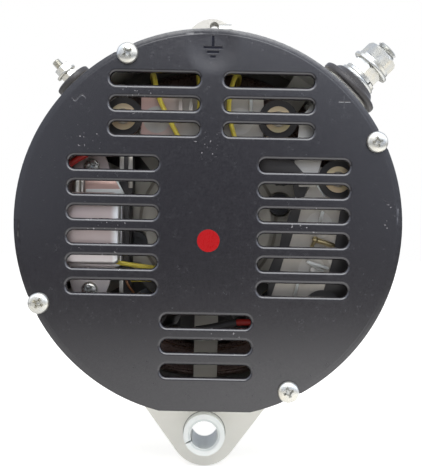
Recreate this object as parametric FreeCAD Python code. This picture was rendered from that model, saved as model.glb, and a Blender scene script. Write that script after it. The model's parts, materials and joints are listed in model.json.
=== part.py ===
import FreeCAD, Part
import math
import os

# Brushless 24 volt alternator with a stationary field coil.
# Millimetres. The shaft lies along Y and the slotted rear cover faces -Y.
# Everything is laid out about the shaft, with Y = 0 on the outer face of the rear cover,
# and moved at the end so that the origin is the rear mouth of the pivot bush bore.

V = FreeCAD.Vector

# Running and seating clearances
SEAT_GAP = 0.3
AIR_GAP = 0.5
BALL_PLAY = 0.08
# How far a cutting tool runs past the face that it cuts
OVERCUT = 1.0
# A hexagon's softening cone, as shares of its size across flats
HEX_CONE_BASE = 0.2
HEX_CONE_TIP = 0.06

# Rear cover
COVER_RADIUS = 86.0
COVER_FLAT_CUT = 2.4
COVER_FLAT_DROP = COVER_RADIUS - COVER_FLAT_CUT
COVER_SHEET = 1.6
COVER_SKIRT = 7.0
COVER_EDGE_ROUND = 3.0
SLOT_LENGTH = 39.6
SLOT_HEIGHT = 5.5
SLOT_LIP_ROUND = 1.4
SLOT_LIP_DEPTH = 1.6
SLOT_LIP_WALL = 1.4
SLOT_PITCH = 10.93
UPPER_ROWS = 3
UPPER_EDGE_MARGIN = 23.04
UPPER_TOP_Z = COVER_RADIUS - UPPER_EDGE_MARGIN
UPPER_BOTTOM_Z = UPPER_TOP_Z - (UPPER_ROWS - 1) * SLOT_PITCH
UPPER_GROUP_X = 25.2
UPPER_GROUP_SHIFT = 0.8
SIDE_ROWS = 6
SIDE_BELOW_UPPER = 15.425
SIDE_TOP_Z = UPPER_BOTTOM_Z - SIDE_BELOW_UPPER
SIDE_GROUP_X = 42.1
LOWER_ROWS = 3
LOWER_FLAT_MARGIN = 18.04
LOWER_BOTTOM_Z = -COVER_FLAT_DROP + LOWER_FLAT_MARGIN

# Cover screws
COVER_SCREW_RADIUS = 2.5
COVER_SCREW_INSET = 3.5
COVER_SCREW_CIRCLE = COVER_RADIUS - COVER_SCREW_INSET
COVER_SCREW_ANGLE = 26.5
COVER_SCREW_COUNT = 4
COVER_SCREW_LENGTH = 14.0
COVER_HEAD_RADIUS = 4.7
COVER_HEAD_HEIGHT = 3.2
COVER_HEAD_ROUND = 1.6
COVER_BOSS_RADIUS = 4.4
COVER_BOSS_DEPTH = 22.0
SCREW_CLEARANCE = 0.3

# Bearings
REAR_BEARING = {"outer": 23.5, "inner": 8.5, "width": 14.0, "ball": 4.0, "balls": 7}
FRONT_BEARING = {"outer": 31.0, "inner": 12.5, "width": 17.0, "ball": 5.4, "balls": 7}
RACE_GAP = 4.2
CAGE_THICKNESS = 1.6
CAGE_WIDTH = 5.0

# Rear bracket
WALL_THICKNESS = 5.0
WALL_INSIDE = COVER_RADIUS - WALL_THICKNESS
WEB_REAR = 38.0
WEB_THICKNESS = 6.0
WEB_FRONT = WEB_REAR + WEB_THICKNESS
SPOKE_WIDTH = 11.0
SPOKE_ROOT = 1.0
HUB_WALL = 5.5
HUB_RADIUS = REAR_BEARING["outer"] + HUB_WALL
HUB_CAP = 4.0
REAR_BEARING_REAR = WEB_FRONT - REAR_BEARING["width"]
HUB_REAR = REAR_BEARING_REAR - HUB_CAP
HUB_DISC_RADIUS = 36.4
HUB_DISC_RISE = 2.0
HUB_DISC_REAR = WEB_REAR - HUB_DISC_RISE
HUB_GROOVE_RADIUS = 31.8
HUB_GROOVE_WIDTH = 1.6
HUB_GROOVE_DEPTH = 1.5

# Foot and pivot bush
PIVOT_BELOW_FLAT = 15.4
PIVOT_DROP = COVER_FLAT_DROP + PIVOT_BELOW_FLAT
FOOT_REAR = 44.5
FOOT_THICKNESS = 29.0
FOOT_FRONT = FOOT_REAR + FOOT_THICKNESS
FOOT_END_RADIUS = 16.0
FOOT_SIDE_ANGLE = 53.4
FOOT_ROOT = 7.6
BUSH_WALL = 3.2
BUSH_BORE_RADIUS = 6.5
BUSH_RADIUS = BUSH_BORE_RADIUS + BUSH_WALL
BUSH_REACH = 10.5
BUSH_REAR = FOOT_REAR - BUSH_REACH
BUSH_LENGTH = 40.0
BUSH_SPLIT = 0.8
BUSH_SPLIT_ANGLE = 205.0

# Field core's flange, which sets where the poles begin
FIELD_FLANGE = 8.0
POLE_DISC = 10.0
POLE_RUNNING_GAP = 2.0
POLE_REAR = WEB_FRONT + FIELD_FLANGE + POLE_RUNNING_GAP

# Stator
STATOR_SHOULDER = 2.0
STATOR_RADIUS = COVER_RADIUS - STATOR_SHOULDER
STATOR_BORE = 55.0
STATOR_REAR = POLE_REAR + POLE_DISC
STATOR_LENGTH = 38.0
STATOR_FRONT = STATOR_REAR + STATOR_LENGTH
STATOR_SLOTS = 36
STATOR_SLOT_WIDTH = 5.0
STATOR_SLOT_MOUTH = 2.6
STATOR_TOOTH_TIP = 1.6
STATOR_BACK = 8.9
STATOR_SLOT_START = STATOR_BORE + STATOR_TOOTH_TIP
STATOR_SLOT_END = STATOR_RADIUS - STATOR_BACK
END_TURN_INSET = 1.1
END_TURN_RADIUS = STATOR_SLOT_END - END_TURN_INSET
END_TURN_STEP = 1.4
END_TURN_BORE = STATOR_SLOT_START + END_TURN_STEP
END_TURN_LENGTH = 12.0
END_TURN_ROUND = 4.0
COIL_SIDE_GAP = 0.3

# Laps, where the brackets grip the stator's edge
LAP_DEPTH = 4.0
LAP_WALL = 4.5
LAP_RADIUS = STATOR_RADIUS + LAP_WALL
LAP_FLANGE = 6.0
LAP_REAR = STATOR_REAR - LAP_FLANGE
LAP_END = STATOR_REAR + LAP_DEPTH

# Through bolts
THROUGH_RADIUS = 2.5
THROUGH_MARGIN = 1.0
THROUGH_CIRCLE = STATOR_RADIUS + THROUGH_RADIUS + THROUGH_MARGIN
THROUGH_ANGLE = 45.0
THROUGH_COUNT = 4
THROUGH_BITE = 10.0
THROUGH_HEAD_FLATS = 8.0
THROUGH_HEAD_HEIGHT = 3.5
LUG_RADIUS = 5.5
LUG_LENGTH = 14.0

# Poles along the shaft, and the front bearing behind them
POLE_OVERHANG = 6.0
POLE_FRONT = STATOR_FRONT + POLE_OVERHANG
COLLAR_LENGTH = 8.0
FRONT_BEARING_REAR = POLE_FRONT + COLLAR_LENGTH
FRONT_BEARING_FRONT = FRONT_BEARING_REAR + FRONT_BEARING["width"]

# Front bracket
FRONT_WALL_STEP = 2.0
FRONT_WALL_RADIUS = STATOR_RADIUS - FRONT_WALL_STEP
FRONT_WALL_THICKNESS = 4.0
FRONT_WALL_BORE = FRONT_WALL_RADIUS - FRONT_WALL_THICKNESS
FRONT_WEB_AHEAD = 12.0
FRONT_WEB_FRONT = FRONT_BEARING_REAR + FRONT_WEB_AHEAD
FRONT_WEB_THICKNESS = 6.0
FRONT_SPOKES = 8
FRONT_SPOKE_WIDTH = 12.0
FRONT_SPOKE_ANGLE = 90.0
FRONT_HUB_WALL = 7.0
FRONT_HUB_RADIUS = FRONT_BEARING["outer"] + FRONT_HUB_WALL
FRONT_LIP_THICKNESS = 3.0
FRONT_LIP_BORE = 24.0
FRONT_FLANGE_THICKNESS = 6.0
EAR_RISE = 5.4
EAR_CENTRE = LAP_RADIUS + EAR_RISE
EAR_RADIUS = 13.5
EAR_THICKNESS = 14.0
EAR_SLOT_WIDTH = 4.8
EAR_SLOT_TOP = 1.4
EAR_SLOT_HEIGHT = 12.0
EAR_SLOT_SHIFT = 1.2
EAR_SCREW_RADIUS = 3.0
EAR_SCREW_LENGTH = 6.5
EAR_SCREW_DROP = 5.6

# Bearing retainer
RETAINER_THICKNESS = 3.0
RETAINER_REAR = FRONT_BEARING_REAR - RETAINER_THICKNESS
RETAINER_BORE = 20.0
RETAINER_RIM = 0.5
RETAINER_RADIUS = FRONT_HUB_RADIUS - RETAINER_RIM
RETAINER_SCREW_RADIUS = 2.0
RETAINER_SCREW_MARGIN = 1.3
RETAINER_SCREW_CIRCLE = FRONT_BEARING["outer"] + RETAINER_SCREW_RADIUS + RETAINER_SCREW_MARGIN
RETAINER_SCREW_ANGLE = 45.0
RETAINER_SCREWS = 4
RETAINER_HEAD_RADIUS = 3.4
RETAINER_HEAD_HEIGHT = 2.2
RETAINER_SCREW_LENGTH = 10.0

# Field coil and its core
POLE_HUB_RADIUS = 18.0
FIELD_FLANGE_RADIUS = 42.0
FIELD_STEP_RADIUS = 31.5
FIELD_TUBE_WALL = 6.5
FIELD_BORE_RADIUS = POLE_HUB_RADIUS + AIR_GAP
FIELD_TUBE_RADIUS = FIELD_BORE_RADIUS + FIELD_TUBE_WALL
COIL_CLEARANCE = 2.0
COIL_ROUND = 2.0
COIL_REAR = POLE_REAR + POLE_DISC + COIL_CLEARANCE
FIELD_TUBE_FRONT = POLE_FRONT - POLE_DISC - COIL_CLEARANCE
COIL_FRONT = FIELD_TUBE_FRONT - COIL_CLEARANCE
FIELD_BOLT_CIRCLE = 34.6
FIELD_BOLT_ANGLE = 16.0
FIELD_BOLTS = 4
FIELD_BOLT_RADIUS = 3.0
FIELD_BOLT_HEAD = 5.0
FIELD_BOLT_HEAD_HEIGHT = 3.6
FIELD_BOLT_SOCKET = 5.0
FIELD_BOLT_SOCKET_DEPTH = 2.0
FIELD_BOLT_SHORT = 1.0
FIELD_RECESS_GAP = 0.9
FIELD_RECESS_RADIUS = FIELD_BOLT_HEAD + FIELD_RECESS_GAP
FIELD_RECESS_DEPTH = 4.0
FIELD_RECESS_WALL = 3.0
FIELD_LOBE_RADIUS = FIELD_RECESS_RADIUS + FIELD_RECESS_WALL

# Rotor
SHAFT_RADIUS = FRONT_BEARING["inner"]
POLE_RADIUS = STATOR_BORE - AIR_GAP
CLAW_THICKNESS = 10.5
POLE_INNER = POLE_RADIUS - CLAW_THICKNESS
POLE_WAIST_STEP = 2.0
POLE_WAIST = POLE_INNER - POLE_WAIST_STEP
CLAWS = 6
CLAW_BASE_WIDTH = 25.0
CLAW_TIP_WIDTH = 12.0
CLAW_TIP_CLEARANCE = 5.0
CLAW_ROOT = 2.0
POLE_HUB_SHORT = 2.0
POLE_HUB_REAR = POLE_REAR + POLE_HUB_SHORT
RING_WALL = 3.0
RING_LENGTH = 16.0
COIL_RING_GAP = 1.5
COIL_RADIUS = POLE_INNER - RING_WALL - COIL_RING_GAP
PULLEY_SEAT_STEP = 1.5
PULLEY_SEAT_RADIUS = SHAFT_RADIUS - PULLEY_SEAT_STEP
SHAFT_THREAD_RADIUS = 8.0
SHAFT_THREAD_END = 4.4
SHAFT_CHAMFER = 1.0
SHAFT_REAR_GAP = 1.0
SHAFT_SEAT_SHORT = 1.0
COLLAR_WALL = 3.5
COLLAR_RADIUS = SHAFT_RADIUS + COLLAR_WALL

# Fan and pulley
FAN_SPACER_LENGTH = 17.0
FAN_REAR = FRONT_BEARING_FRONT + FAN_SPACER_LENGTH
FAN_SHEET = 2.0
FAN_DISC_RADIUS = 62.0
FAN_BLADE_RADIUS = 77.0
FAN_BLADE_ROOT = 46.0
FAN_BLADE_DEPTH = 11.0
FAN_BLADE_SWEEP = 24.0
FAN_BLADES = 12
PULLEY_RADIUS = 38.0
PULLEY_LENGTH = 34.0
PULLEY_ROOT = 27.0
GROOVE_TOP_WIDTH = 12.6
GROOVE_ANGLE = 36.0
GROOVE_PITCH = 16.0
GROOVES = 2
PULLEY_RECESS_RADIUS = 20.0
PULLEY_RECESS_DEPTH = 10.0
PULLEY_REAR = FAN_REAR + FAN_SHEET
PULLEY_SEAT_FRONT = PULLEY_REAR + PULLEY_LENGTH - PULLEY_RECESS_DEPTH
KEY_INSET = 2.0
KEY_WIDTH = 5.0
KEY_LENGTH = 18.0
KEY_HEIGHT = 5.0
NUT_FLATS = 24.0
NUT_HEIGHT = 11.0
LOCK_WASHER_RADIUS = 13.6
LOCK_WASHER_THICKNESS = 2.6
WASHER_SLIT = 1.6
SHAFT_END = PULLEY_SEAT_FRONT + LOCK_WASHER_THICKNESS + NUT_HEIGHT + SHAFT_THREAD_END

# Rectifier
PLATE_REAR = 12.0
PLATE_THICKNESS = 3.0
PLATE_FRONT = PLATE_REAR + PLATE_THICKNESS
SINK_BOLTS = {"upper_left": (-38.9, 46.9), "upper_right": (30.6, 46.9), "right": (57.9, 20.5)}
SINK_BOLT_RADIUS = 2.0
SINK_HEAD_RADIUS = 2.8
SINK_HEAD_HEIGHT = 2.4
SINK_WASHER_RADIUS = 5.9
SINK_WASHER_THICKNESS = 1.0
SINK_RING_RADIUS = 8.8
SINK_RING_THICKNESS = 1.6
SINK_SPACER = 3.0
SPACER_FRONT = PLATE_FRONT + SINK_SPACER
SINK_RING_REAR = PLATE_REAR - SINK_RING_THICKNESS
SINK_WASHER_REAR = SINK_RING_REAR - SINK_WASHER_THICKNESS
SINK_BOSS_RADIUS = 7.0
SINK_BOLT_BITE = 9.0
TOP_PLATE_X = (-31.0, 24.0)
TOP_PLATE_Z = (37.0, 59.0)
FIN_X = (-14.0, -9.4)
FIN_WIDTH = 1.6
FIN_HEIGHT = 5.0
FIN_Z = (46.0, 58.0)
TOP_DIODES = ((-24.0, 46.0), (-2.0, 46.0), (13.5, 46.0))
SIDE_DIODES = ((50.0, 0.0), (47.0, -20.0), (60.0, -14.0))
DIODE_RADIUS = 6.0
DIODE_BODY = 8.0
DIODE_PIN_RADIUS = 1.0
DIODE_PIN_LENGTH = 5.0
SIDE_PLATE_ROOM = 6.0
SIDE_PLATE_RADIUS = WALL_INSIDE - SIDE_PLATE_ROOM
SIDE_EDGE_TOP = (46.4, 18.5)
SIDE_EDGE_BOTTOM = (28.4, -33.0)
SIDE_EDGE_BOW = 3.0
SIDE_PLATE_TOP = 26.0
SIDE_PLATE_BOTTOM = -50.0
SIDE_BOLT_LOW = (52.0, -38.0)

# Regulator
REGULATOR_X = -53.4
REGULATOR_Z = -3.3
REGULATOR_WIDTH = 22.0
REGULATOR_HEIGHT = 32.0
REGULATOR_DEPTH = 14.0
REGULATOR_ROUND = 6.0
REGULATOR_CROWN_ROUND = 2.0
REGULATOR_BASE_REAR = 20.0
REGULATOR_BASE_THICKNESS = 3.0
REGULATOR_BASE_FRONT = REGULATOR_BASE_REAR + REGULATOR_BASE_THICKNESS
REGULATOR_BASE_RADIUS = 16.5
REGULATOR_SCREW_SPAN = 56.0
REGULATOR_EAR_RADIUS = 7.5
REGULATOR_SCREW_RADIUS = 2.0
REGULATOR_HEAD_RADIUS = 3.8
REGULATOR_HEAD_HEIGHT = 2.8
REGULATOR_SCREW_BITE = 9.0
REGULATOR_BOSS_RADIUS = 6.0

# Terminals
TERMINAL_DEPTH = 19.0
TERMINAL_PAD = 1.5
TERMINAL_SEAT = COVER_RADIUS + TERMINAL_PAD
PAD_MARGIN = 1.5
PAD_ROOT = 1.0
COLLAR_HOLE_REACH = 9.0
CORNER_TURN = 30.0
MAIN_ANGLE = 45.0
MAIN_STUD_RADIUS = 5.0
MAIN_HEAD_FLATS = 14.0
MAIN_HEAD_HEIGHT = 5.0
MAIN_BUSH_HEIGHT = 5.7166
MAIN_THREAD_END = 3.2
MAIN_FLANGE_RADIUS = 14.8
MAIN_FLANGE = 3.5
MAIN_DOME_RADIUS = 11.5
MAIN_DOME = 2.4
MAIN_DOME_TOP_RADIUS = 9.89
MAIN_INNER_FLANGE_RADIUS = 10.5
MAIN_COLLAR_RADIUS = 8.0
MAIN_WASHER_RADII = (9.0, 9.4)
MAIN_WASHER_THICKNESS = 1.5
MAIN_SPRING_RADIUS = 8.2
MAIN_SPRING_THICKNESS = 2.0
MAIN_NUT_HEIGHTS = (5.0, 5.5)
STRAP_THICKNESS = 1.6
STRAP_WIDTH = 11.0
STRAP_LAP = 1.1
STRAP_FOOT = ((40.5, 17.0), (48.0, 17.0), (48.5, 22.0), (50.5, 29.0), (48.2, 40.4), (40.4, 48.2),
              (39.6, 38.5), (38.4, 28.0))
SIGNAL_ANGLE = 134.4
SIGNAL_STUD_RADIUS = 2.0
SIGNAL_HEAD_FLATS = 7.0
SIGNAL_HEAD_HEIGHT = 3.0
SIGNAL_BUSH_HEIGHT = 4.6970
SIGNAL_THREAD_END = 3.8
SIGNAL_FLANGE_RADIUS = 8.7
SIGNAL_FLANGE = 3.0
SIGNAL_INNER_FLANGE_RADIUS = 7.0
SIGNAL_COLLAR_RADIUS = 4.5
SIGNAL_NUT_HEIGHT = 3.0
SIGNAL_WASHER_RADIUS = 5.0
SIGNAL_WASHER_THICKNESS = 1.0

# Leads
LEAD_RADIUS = 1.1
RED_LEAD_RADIUS = 1.5
LEAD_ARC_SHARE = 0.45
STATOR_LEAD_ROUTES = (
    ((-27.0, 51.8, 66.0), (-27.5, 40.0, 67.0), (-27.0, 26.0, 68.0), (-25.5, 14.0, 66.5),
     (-23.5, 9.0, 56.0), (-18.0, 8.4, 45.5), (-13.0, 9.2, 36.5)),
    ((-5.5, 51.8, 66.0), (-6.0, 40.0, 67.5), (-5.5, 26.0, 68.5), (-5.0, 14.0, 67.0),
     (-4.6, 9.0, 57.5), (-4.8, 8.4, 48.5)),
    ((13.0, 51.8, 66.0), (13.5, 40.0, 67.5), (13.0, 26.0, 68.5), (11.0, 14.0, 67.0),
     (8.4, 9.0, 57.0), (8.2, 8.4, 47.0), (11.6, 9.2, 37.5)),
)
RED_LEAD_ROUTE = (
    (41.0, 10.3, -45.5), (32.5, 10.2, -45.4), (24.0, 10.5, -44.4), (14.0, 13.2, -44.2),
    (3.0, 16.0, -47.5), (-12.0, 17.5, -49.8), (-28.0, 17.5, -49.5), (-44.0, 16.0, -47.0),
    (-60.0, 14.5, -40.0), (-70.5, 13.0, -26.0), (-74.0, 12.0, -8.0), (-73.0, 11.5, 7.0),
    (-69.0, 11.0, 18.5), (-61.5, 10.8, 26.4), (-53.0, 11.8, 30.8), (-49.6, 14.6, 38.2),
    (-51.0, 17.2, 45.2), (-50.8, 18.6, 50.8),
)


def cylinder(radius, y0, y1, x=0.0, z=0.0):
    return Part.makeCylinder(radius, y1 - y0, V(x, y0, z), V(0, 1, 0))


def ring(outer, inner, y0, y1, x=0.0, z=0.0):
    return cylinder(outer, y0, y1, x, z).cut(cylinder(inner, y0, y1, x, z))


def radial_cylinder(radius, start, end, depth):
    return Part.makeCylinder(radius, end - start, V(start, depth, 0), V(1, 0, 0))


def radial_ring(outer, inner, start, end, depth):
    return radial_cylinder(outer, start, end, depth).cut(radial_cylinder(inner, start, end, depth))


def block(x, y, z):
    return Part.makeBox(x[1] - x[0], y[1] - y[0], z[1] - z[0], V(x[0], y[0], z[0]))


def turned(shape, angle):
    # Turns from +X towards +Z about the shaft.
    copy = shape.copy()
    copy.rotate(V(0, 0, 0), V(0, -1, 0), angle)
    return copy


def around(shape, count, start=0.0):
    return [turned(shape, start + 360.0 * i / count) for i in range(count)]


def joined(shapes):
    return shapes[0].multiFuse(shapes[1:]).removeSplitter()


def polar(radius, angle):
    return radius * math.cos(math.radians(angle)), radius * math.sin(math.radians(angle))


def revolved(points):
    outline = Part.makePolygon([V(r, y, 0) for r, y in points + points[:1]])
    return Part.Face(outline).revolve(V(0, 0, 0), V(0, 1, 0), 360)


def hexagon(flats, start, end, depth, twist=0.0):
    # A prism along +X, its outer corners softened by a cone, as on a nut or bolt head.
    corner = flats / math.sqrt(3)
    turns = [math.radians(60 * i + twist) for i in range(7)]
    corners = [V(start, depth + corner * math.cos(t), corner * math.sin(t)) for t in turns]
    prism = Part.Face(Part.makePolygon(corners)).extrude(V(end - start, 0, 0))
    cone = Part.makeCone(corner + flats * HEX_CONE_BASE, corner - flats * HEX_CONE_TIP, end - start,
                         V(start, depth, 0), V(1, 0, 0))
    return prism.common(cone)


def axial(shape, x, z, y0):
    # Stands a piece modelled along +X on the point (x, z), pointing along +Y from y0.
    copy = shape.copy()
    copy.rotate(V(0, 0, 0), V(0, 0, 1), 90)
    copy.translate(V(x, y0, z))
    return copy


def obround(length, height, x, z, y0, y1):
    half = (length - height) / 2.0
    radius = height / 2.0
    parts = [block((x - half, x + half), (y0, y1), (z - radius, z + radius)),
             cylinder(radius, y0, y1, x - half, z), cylinder(radius, y0, y1, x + half, z)]
    return joined(parts)


def drum(radius, drop, y0, y1):
    # A disc with the flat that the cover and the rear bracket share below.
    floor = block((-radius, radius), (y0, y1), (-drop, radius))
    return cylinder(radius, y0, y1).common(floor)


def slot_places():
    places = []
    for row in range(SIDE_ROWS):
        z = SIDE_TOP_Z - row * SLOT_PITCH
        places += [(-SIDE_GROUP_X, z), (SIDE_GROUP_X, z)]
    for row in range(UPPER_ROWS):
        z = UPPER_TOP_Z - row * SLOT_PITCH
        places += [(UPPER_GROUP_SHIFT + side * UPPER_GROUP_X, z) for side in (-1, 1)]
    for row in range(LOWER_ROWS):
        places.append((0.0, LOWER_BOTTOM_Z + row * SLOT_PITCH))
    return places


def cover_screw_angles():
    return [COVER_SCREW_ANGLE + 360.0 * i / COVER_SCREW_COUNT for i in range(COVER_SCREW_COUNT)]


def rear_cover():
    outer = drum(COVER_RADIUS, COVER_FLAT_DROP, 0, COVER_SKIRT)
    front_edges = [e for e in outer.Edges if abs(e.BoundBox.YMax) < 1e-6]
    outer = outer.makeFillet(COVER_EDGE_ROUND, front_edges)
    hollow = drum(COVER_RADIUS - COVER_SHEET, COVER_FLAT_DROP - COVER_SHEET,
                  COVER_SHEET, COVER_SKIRT + OVERCUT)
    inner_edges = [e for e in hollow.Edges if abs(e.BoundBox.YMax - COVER_SHEET) < 1e-6]
    shell = outer.cut(hollow.makeFillet(COVER_EDGE_ROUND - COVER_SHEET, inner_edges))
    wide = 2 * SLOT_LIP_WALL
    lips = [obround(SLOT_LENGTH + wide, SLOT_HEIGHT + wide, x, z,
                    COVER_SHEET / 2, COVER_SHEET + SLOT_LIP_DEPTH) for x, z in slot_places()]
    shell = shell.multiFuse(lips).removeSplitter()
    holes = [obround(SLOT_LENGTH, SLOT_HEIGHT, x, z, -OVERCUT, COVER_SKIRT)
             for x, z in slot_places()]
    shell = shell.cut(Part.makeCompound(holes))
    mouth = [e for e in shell.Edges if e.BoundBox.YMax < 1e-6
             and e.BoundBox.DiagonalLength < SLOT_LENGTH + OVERCUT]
    shell = shell.makeFillet(SLOT_LIP_ROUND, mouth)
    half = COVER_SCREW_RADIUS + SCREW_CLEARANCE
    wide_half = COVER_BOSS_RADIUS + SCREW_CLEARANCE
    reach = COVER_SCREW_CIRCLE + COVER_RADIUS
    for angle in cover_screw_angles():
        notch = block((COVER_SCREW_CIRCLE, reach), (-OVERCUT, COVER_SHEET + OVERCUT), (-half, half))
        notch = notch.fuse(cylinder(half, -OVERCUT, COVER_SHEET + OVERCUT, COVER_SCREW_CIRCLE))
        room = block((COVER_SCREW_CIRCLE, reach), (COVER_SHEET, COVER_SKIRT + OVERCUT),
                     (-wide_half, wide_half))
        shell = shell.cut(turned(notch.fuse(room), angle))
    return shell


def cover_screws():
    shank = cylinder(COVER_SCREW_RADIUS, 0, COVER_SCREW_LENGTH, COVER_SCREW_CIRCLE)
    head = cylinder(COVER_HEAD_RADIUS, -COVER_HEAD_HEIGHT, 0, COVER_SCREW_CIRCLE)
    top = [e for e in head.Edges if abs(e.BoundBox.YMax + COVER_HEAD_HEIGHT) < 1e-6]
    head = head.makeFillet(COVER_HEAD_ROUND, top)
    return [turned(head.fuse(shank), angle) for angle in cover_screw_angles()]


def through_places():
    return [THROUGH_ANGLE + 360.0 * i / THROUGH_COUNT for i in range(THROUGH_COUNT)]


def regulator_screw_places():
    half = REGULATOR_SCREW_SPAN / 2.0
    return [(REGULATOR_X, REGULATOR_Z + half), (REGULATOR_X, REGULATOR_Z - half)]


def sink_bolt_places():
    return list(SINK_BOLTS.values()) + [SIDE_BOLT_LOW]


def spoke_angles():
    angles = [math.degrees(math.atan2(z, x)) for x, z in sink_bolt_places()]
    angles += [math.degrees(math.atan2(z, x)) for x, z in regulator_screw_places()]
    return angles + [-90.0]


def drum_outside():
    # The outline of the drum and its lap, which the foot grows from.
    return drum(COVER_RADIUS, COVER_FLAT_DROP, COVER_SKIRT + SEAT_GAP, STATOR_REAR).fuse(
        cylinder(LAP_RADIUS, LAP_REAR, LAP_END))


def bracket_foot():
    # Two sides tangent to the round end, rising to the drum and bored for the pivot bush.
    rise = math.radians(FOOT_SIDE_ANGLE)
    top = -COVER_FLAT_DROP + FOOT_ROOT
    touch_x = FOOT_END_RADIUS * math.sin(rise)
    touch_z = -PIVOT_DROP - FOOT_END_RADIUS * math.cos(rise)
    top_x = touch_x + (top - touch_z) / math.tan(rise)
    corners = [V(-touch_x, FOOT_REAR, touch_z), V(touch_x, FOOT_REAR, touch_z),
               V(top_x, FOOT_REAR, top), V(-top_x, FOOT_REAR, top)]
    wedge = Part.Face(Part.makePolygon(corners + corners[:1])).extrude(V(0, FOOT_THICKNESS, 0))
    end = cylinder(FOOT_END_RADIUS, FOOT_REAR, FOOT_FRONT, 0, -PIVOT_DROP)
    body = wedge.fuse(end).cut(drum_outside())
    body = body.cut(cylinder(STATOR_RADIUS, STATOR_REAR, FOOT_FRONT + OVERCUT))
    bore = cylinder(BUSH_RADIUS, FOOT_REAR - OVERCUT, FOOT_FRONT + OVERCUT, 0, -PIVOT_DROP)
    return body.cut(bore)


def rear_bracket():
    neck = COVER_RADIUS - COVER_SHEET - SEAT_GAP
    neck_drop = COVER_FLAT_DROP - COVER_SHEET - SEAT_GAP
    collar = drum(neck, neck_drop, COVER_SHEET, COVER_SKIRT + SEAT_GAP)
    rim = [e for e in collar.Edges if abs(e.BoundBox.YMax - COVER_SHEET) < 1e-6]
    parts = [collar.makeFillet(COVER_EDGE_ROUND - COVER_SHEET, rim), drum_outside()]
    boss = cylinder(COVER_BOSS_RADIUS, COVER_SHEET, COVER_BOSS_DEPTH, COVER_SCREW_CIRCLE)
    parts += [turned(boss, a) for a in cover_screw_angles()]
    lug = cylinder(LUG_RADIUS, LAP_END - LUG_LENGTH, LAP_END, THROUGH_CIRCLE)
    parts += [turned(lug, a) for a in through_places()]
    room = TERMINAL_DEPTH - COVER_SKIRT - SEAT_GAP
    for angle, flange in ((MAIN_ANGLE, MAIN_FLANGE_RADIUS), (SIGNAL_ANGLE, SIGNAL_FLANGE_RADIUS)):
        pad = min(flange - PAD_MARGIN, room)
        seat = radial_cylinder(pad, WALL_INSIDE + PAD_ROOT, TERMINAL_SEAT, TERMINAL_DEPTH)
        parts.append(turned(seat, angle))
    body = joined(parts)
    body = body.cut(cylinder(WALL_INSIDE, 0, STATOR_REAR + OVERCUT))
    body = body.cut(cylinder(STATOR_RADIUS, STATOR_REAR, LAP_END + OVERCUT))
    spoke = block((HUB_RADIUS, WALL_INSIDE + SPOKE_ROOT), (WEB_REAR, WEB_FRONT),
                  (-SPOKE_WIDTH / 2, SPOKE_WIDTH / 2))
    inner = [cylinder(HUB_RADIUS, HUB_REAR, WEB_FRONT),
             cylinder(HUB_DISC_RADIUS, HUB_DISC_REAR, WEB_FRONT)]
    inner += [turned(spoke, a) for a in spoke_angles()]
    lobe = cylinder(FIELD_LOBE_RADIUS, HUB_DISC_REAR, WEB_FRONT, FIELD_BOLT_CIRCLE)
    inner += around(lobe, FIELD_BOLTS, FIELD_BOLT_ANGLE)
    inner += [cylinder(SINK_BOSS_RADIUS, SPACER_FRONT, WEB_FRONT, x, z)
              for x, z in sink_bolt_places()]
    inner += [cylinder(REGULATOR_BOSS_RADIUS, REGULATOR_BASE_FRONT, WEB_FRONT, x, z)
              for x, z in regulator_screw_places()]
    inner += [turned(boss, a) for a in cover_screw_angles()]
    body = joined([body] + inner)
    groove = ring(HUB_GROOVE_RADIUS + HUB_GROOVE_WIDTH / 2, HUB_GROOVE_RADIUS - HUB_GROOVE_WIDTH / 2,
                  HUB_DISC_REAR, HUB_DISC_REAR + HUB_GROOVE_DEPTH)
    cuts = [groove, cylinder(REAR_BEARING["outer"], REAR_BEARING_REAR, WEB_FRONT + OVERCUT)]
    screw = cylinder(COVER_SCREW_RADIUS, 0, COVER_SCREW_LENGTH, COVER_SCREW_CIRCLE)
    cuts += [turned(screw, a) for a in cover_screw_angles()]
    bolt = cylinder(THROUGH_RADIUS, LAP_END - THROUGH_BITE, LAP_END + OVERCUT, THROUGH_CIRCLE)
    cuts += [turned(bolt, a) for a in through_places()]
    hole = cylinder(FIELD_BOLT_RADIUS, HUB_DISC_REAR, WEB_FRONT + OVERCUT, FIELD_BOLT_CIRCLE)
    recess = cylinder(FIELD_RECESS_RADIUS, HUB_DISC_REAR - OVERCUT,
                      HUB_DISC_REAR + FIELD_RECESS_DEPTH, FIELD_BOLT_CIRCLE)
    cuts += around(hole.fuse(recess), FIELD_BOLTS, FIELD_BOLT_ANGLE)
    cuts += [cylinder(SINK_BOLT_RADIUS, 0, SPACER_FRONT + SINK_BOLT_BITE, x, z)
             for x, z in sink_bolt_places()]
    cuts += [cylinder(REGULATOR_SCREW_RADIUS, 0, REGULATOR_BASE_FRONT + REGULATOR_SCREW_BITE, x, z)
             for x, z in regulator_screw_places()]
    for angle, radius in ((MAIN_ANGLE, MAIN_COLLAR_RADIUS), (SIGNAL_ANGLE, SIGNAL_COLLAR_RADIUS)):
        hole = radial_cylinder(radius, WALL_INSIDE - COLLAR_HOLE_REACH,
                               LAP_RADIUS + COLLAR_HOLE_REACH, TERMINAL_DEPTH)
        cuts.append(turned(hole, angle))
    return body.cut(Part.makeCompound(cuts))


def pivot_bush():
    end = BUSH_REAR + BUSH_LENGTH
    bush = ring(BUSH_RADIUS, BUSH_BORE_RADIUS, BUSH_REAR, end, 0, -PIVOT_DROP)
    slit = block((0, BUSH_RADIUS + OVERCUT), (BUSH_REAR - OVERCUT, end + OVERCUT),
                 (-BUSH_SPLIT / 2, BUSH_SPLIT / 2))
    slit = turned(slit, BUSH_SPLIT_ANGLE)
    slit.translate(V(0, 0, -PIVOT_DROP))
    return bush.cut(slit)


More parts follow.
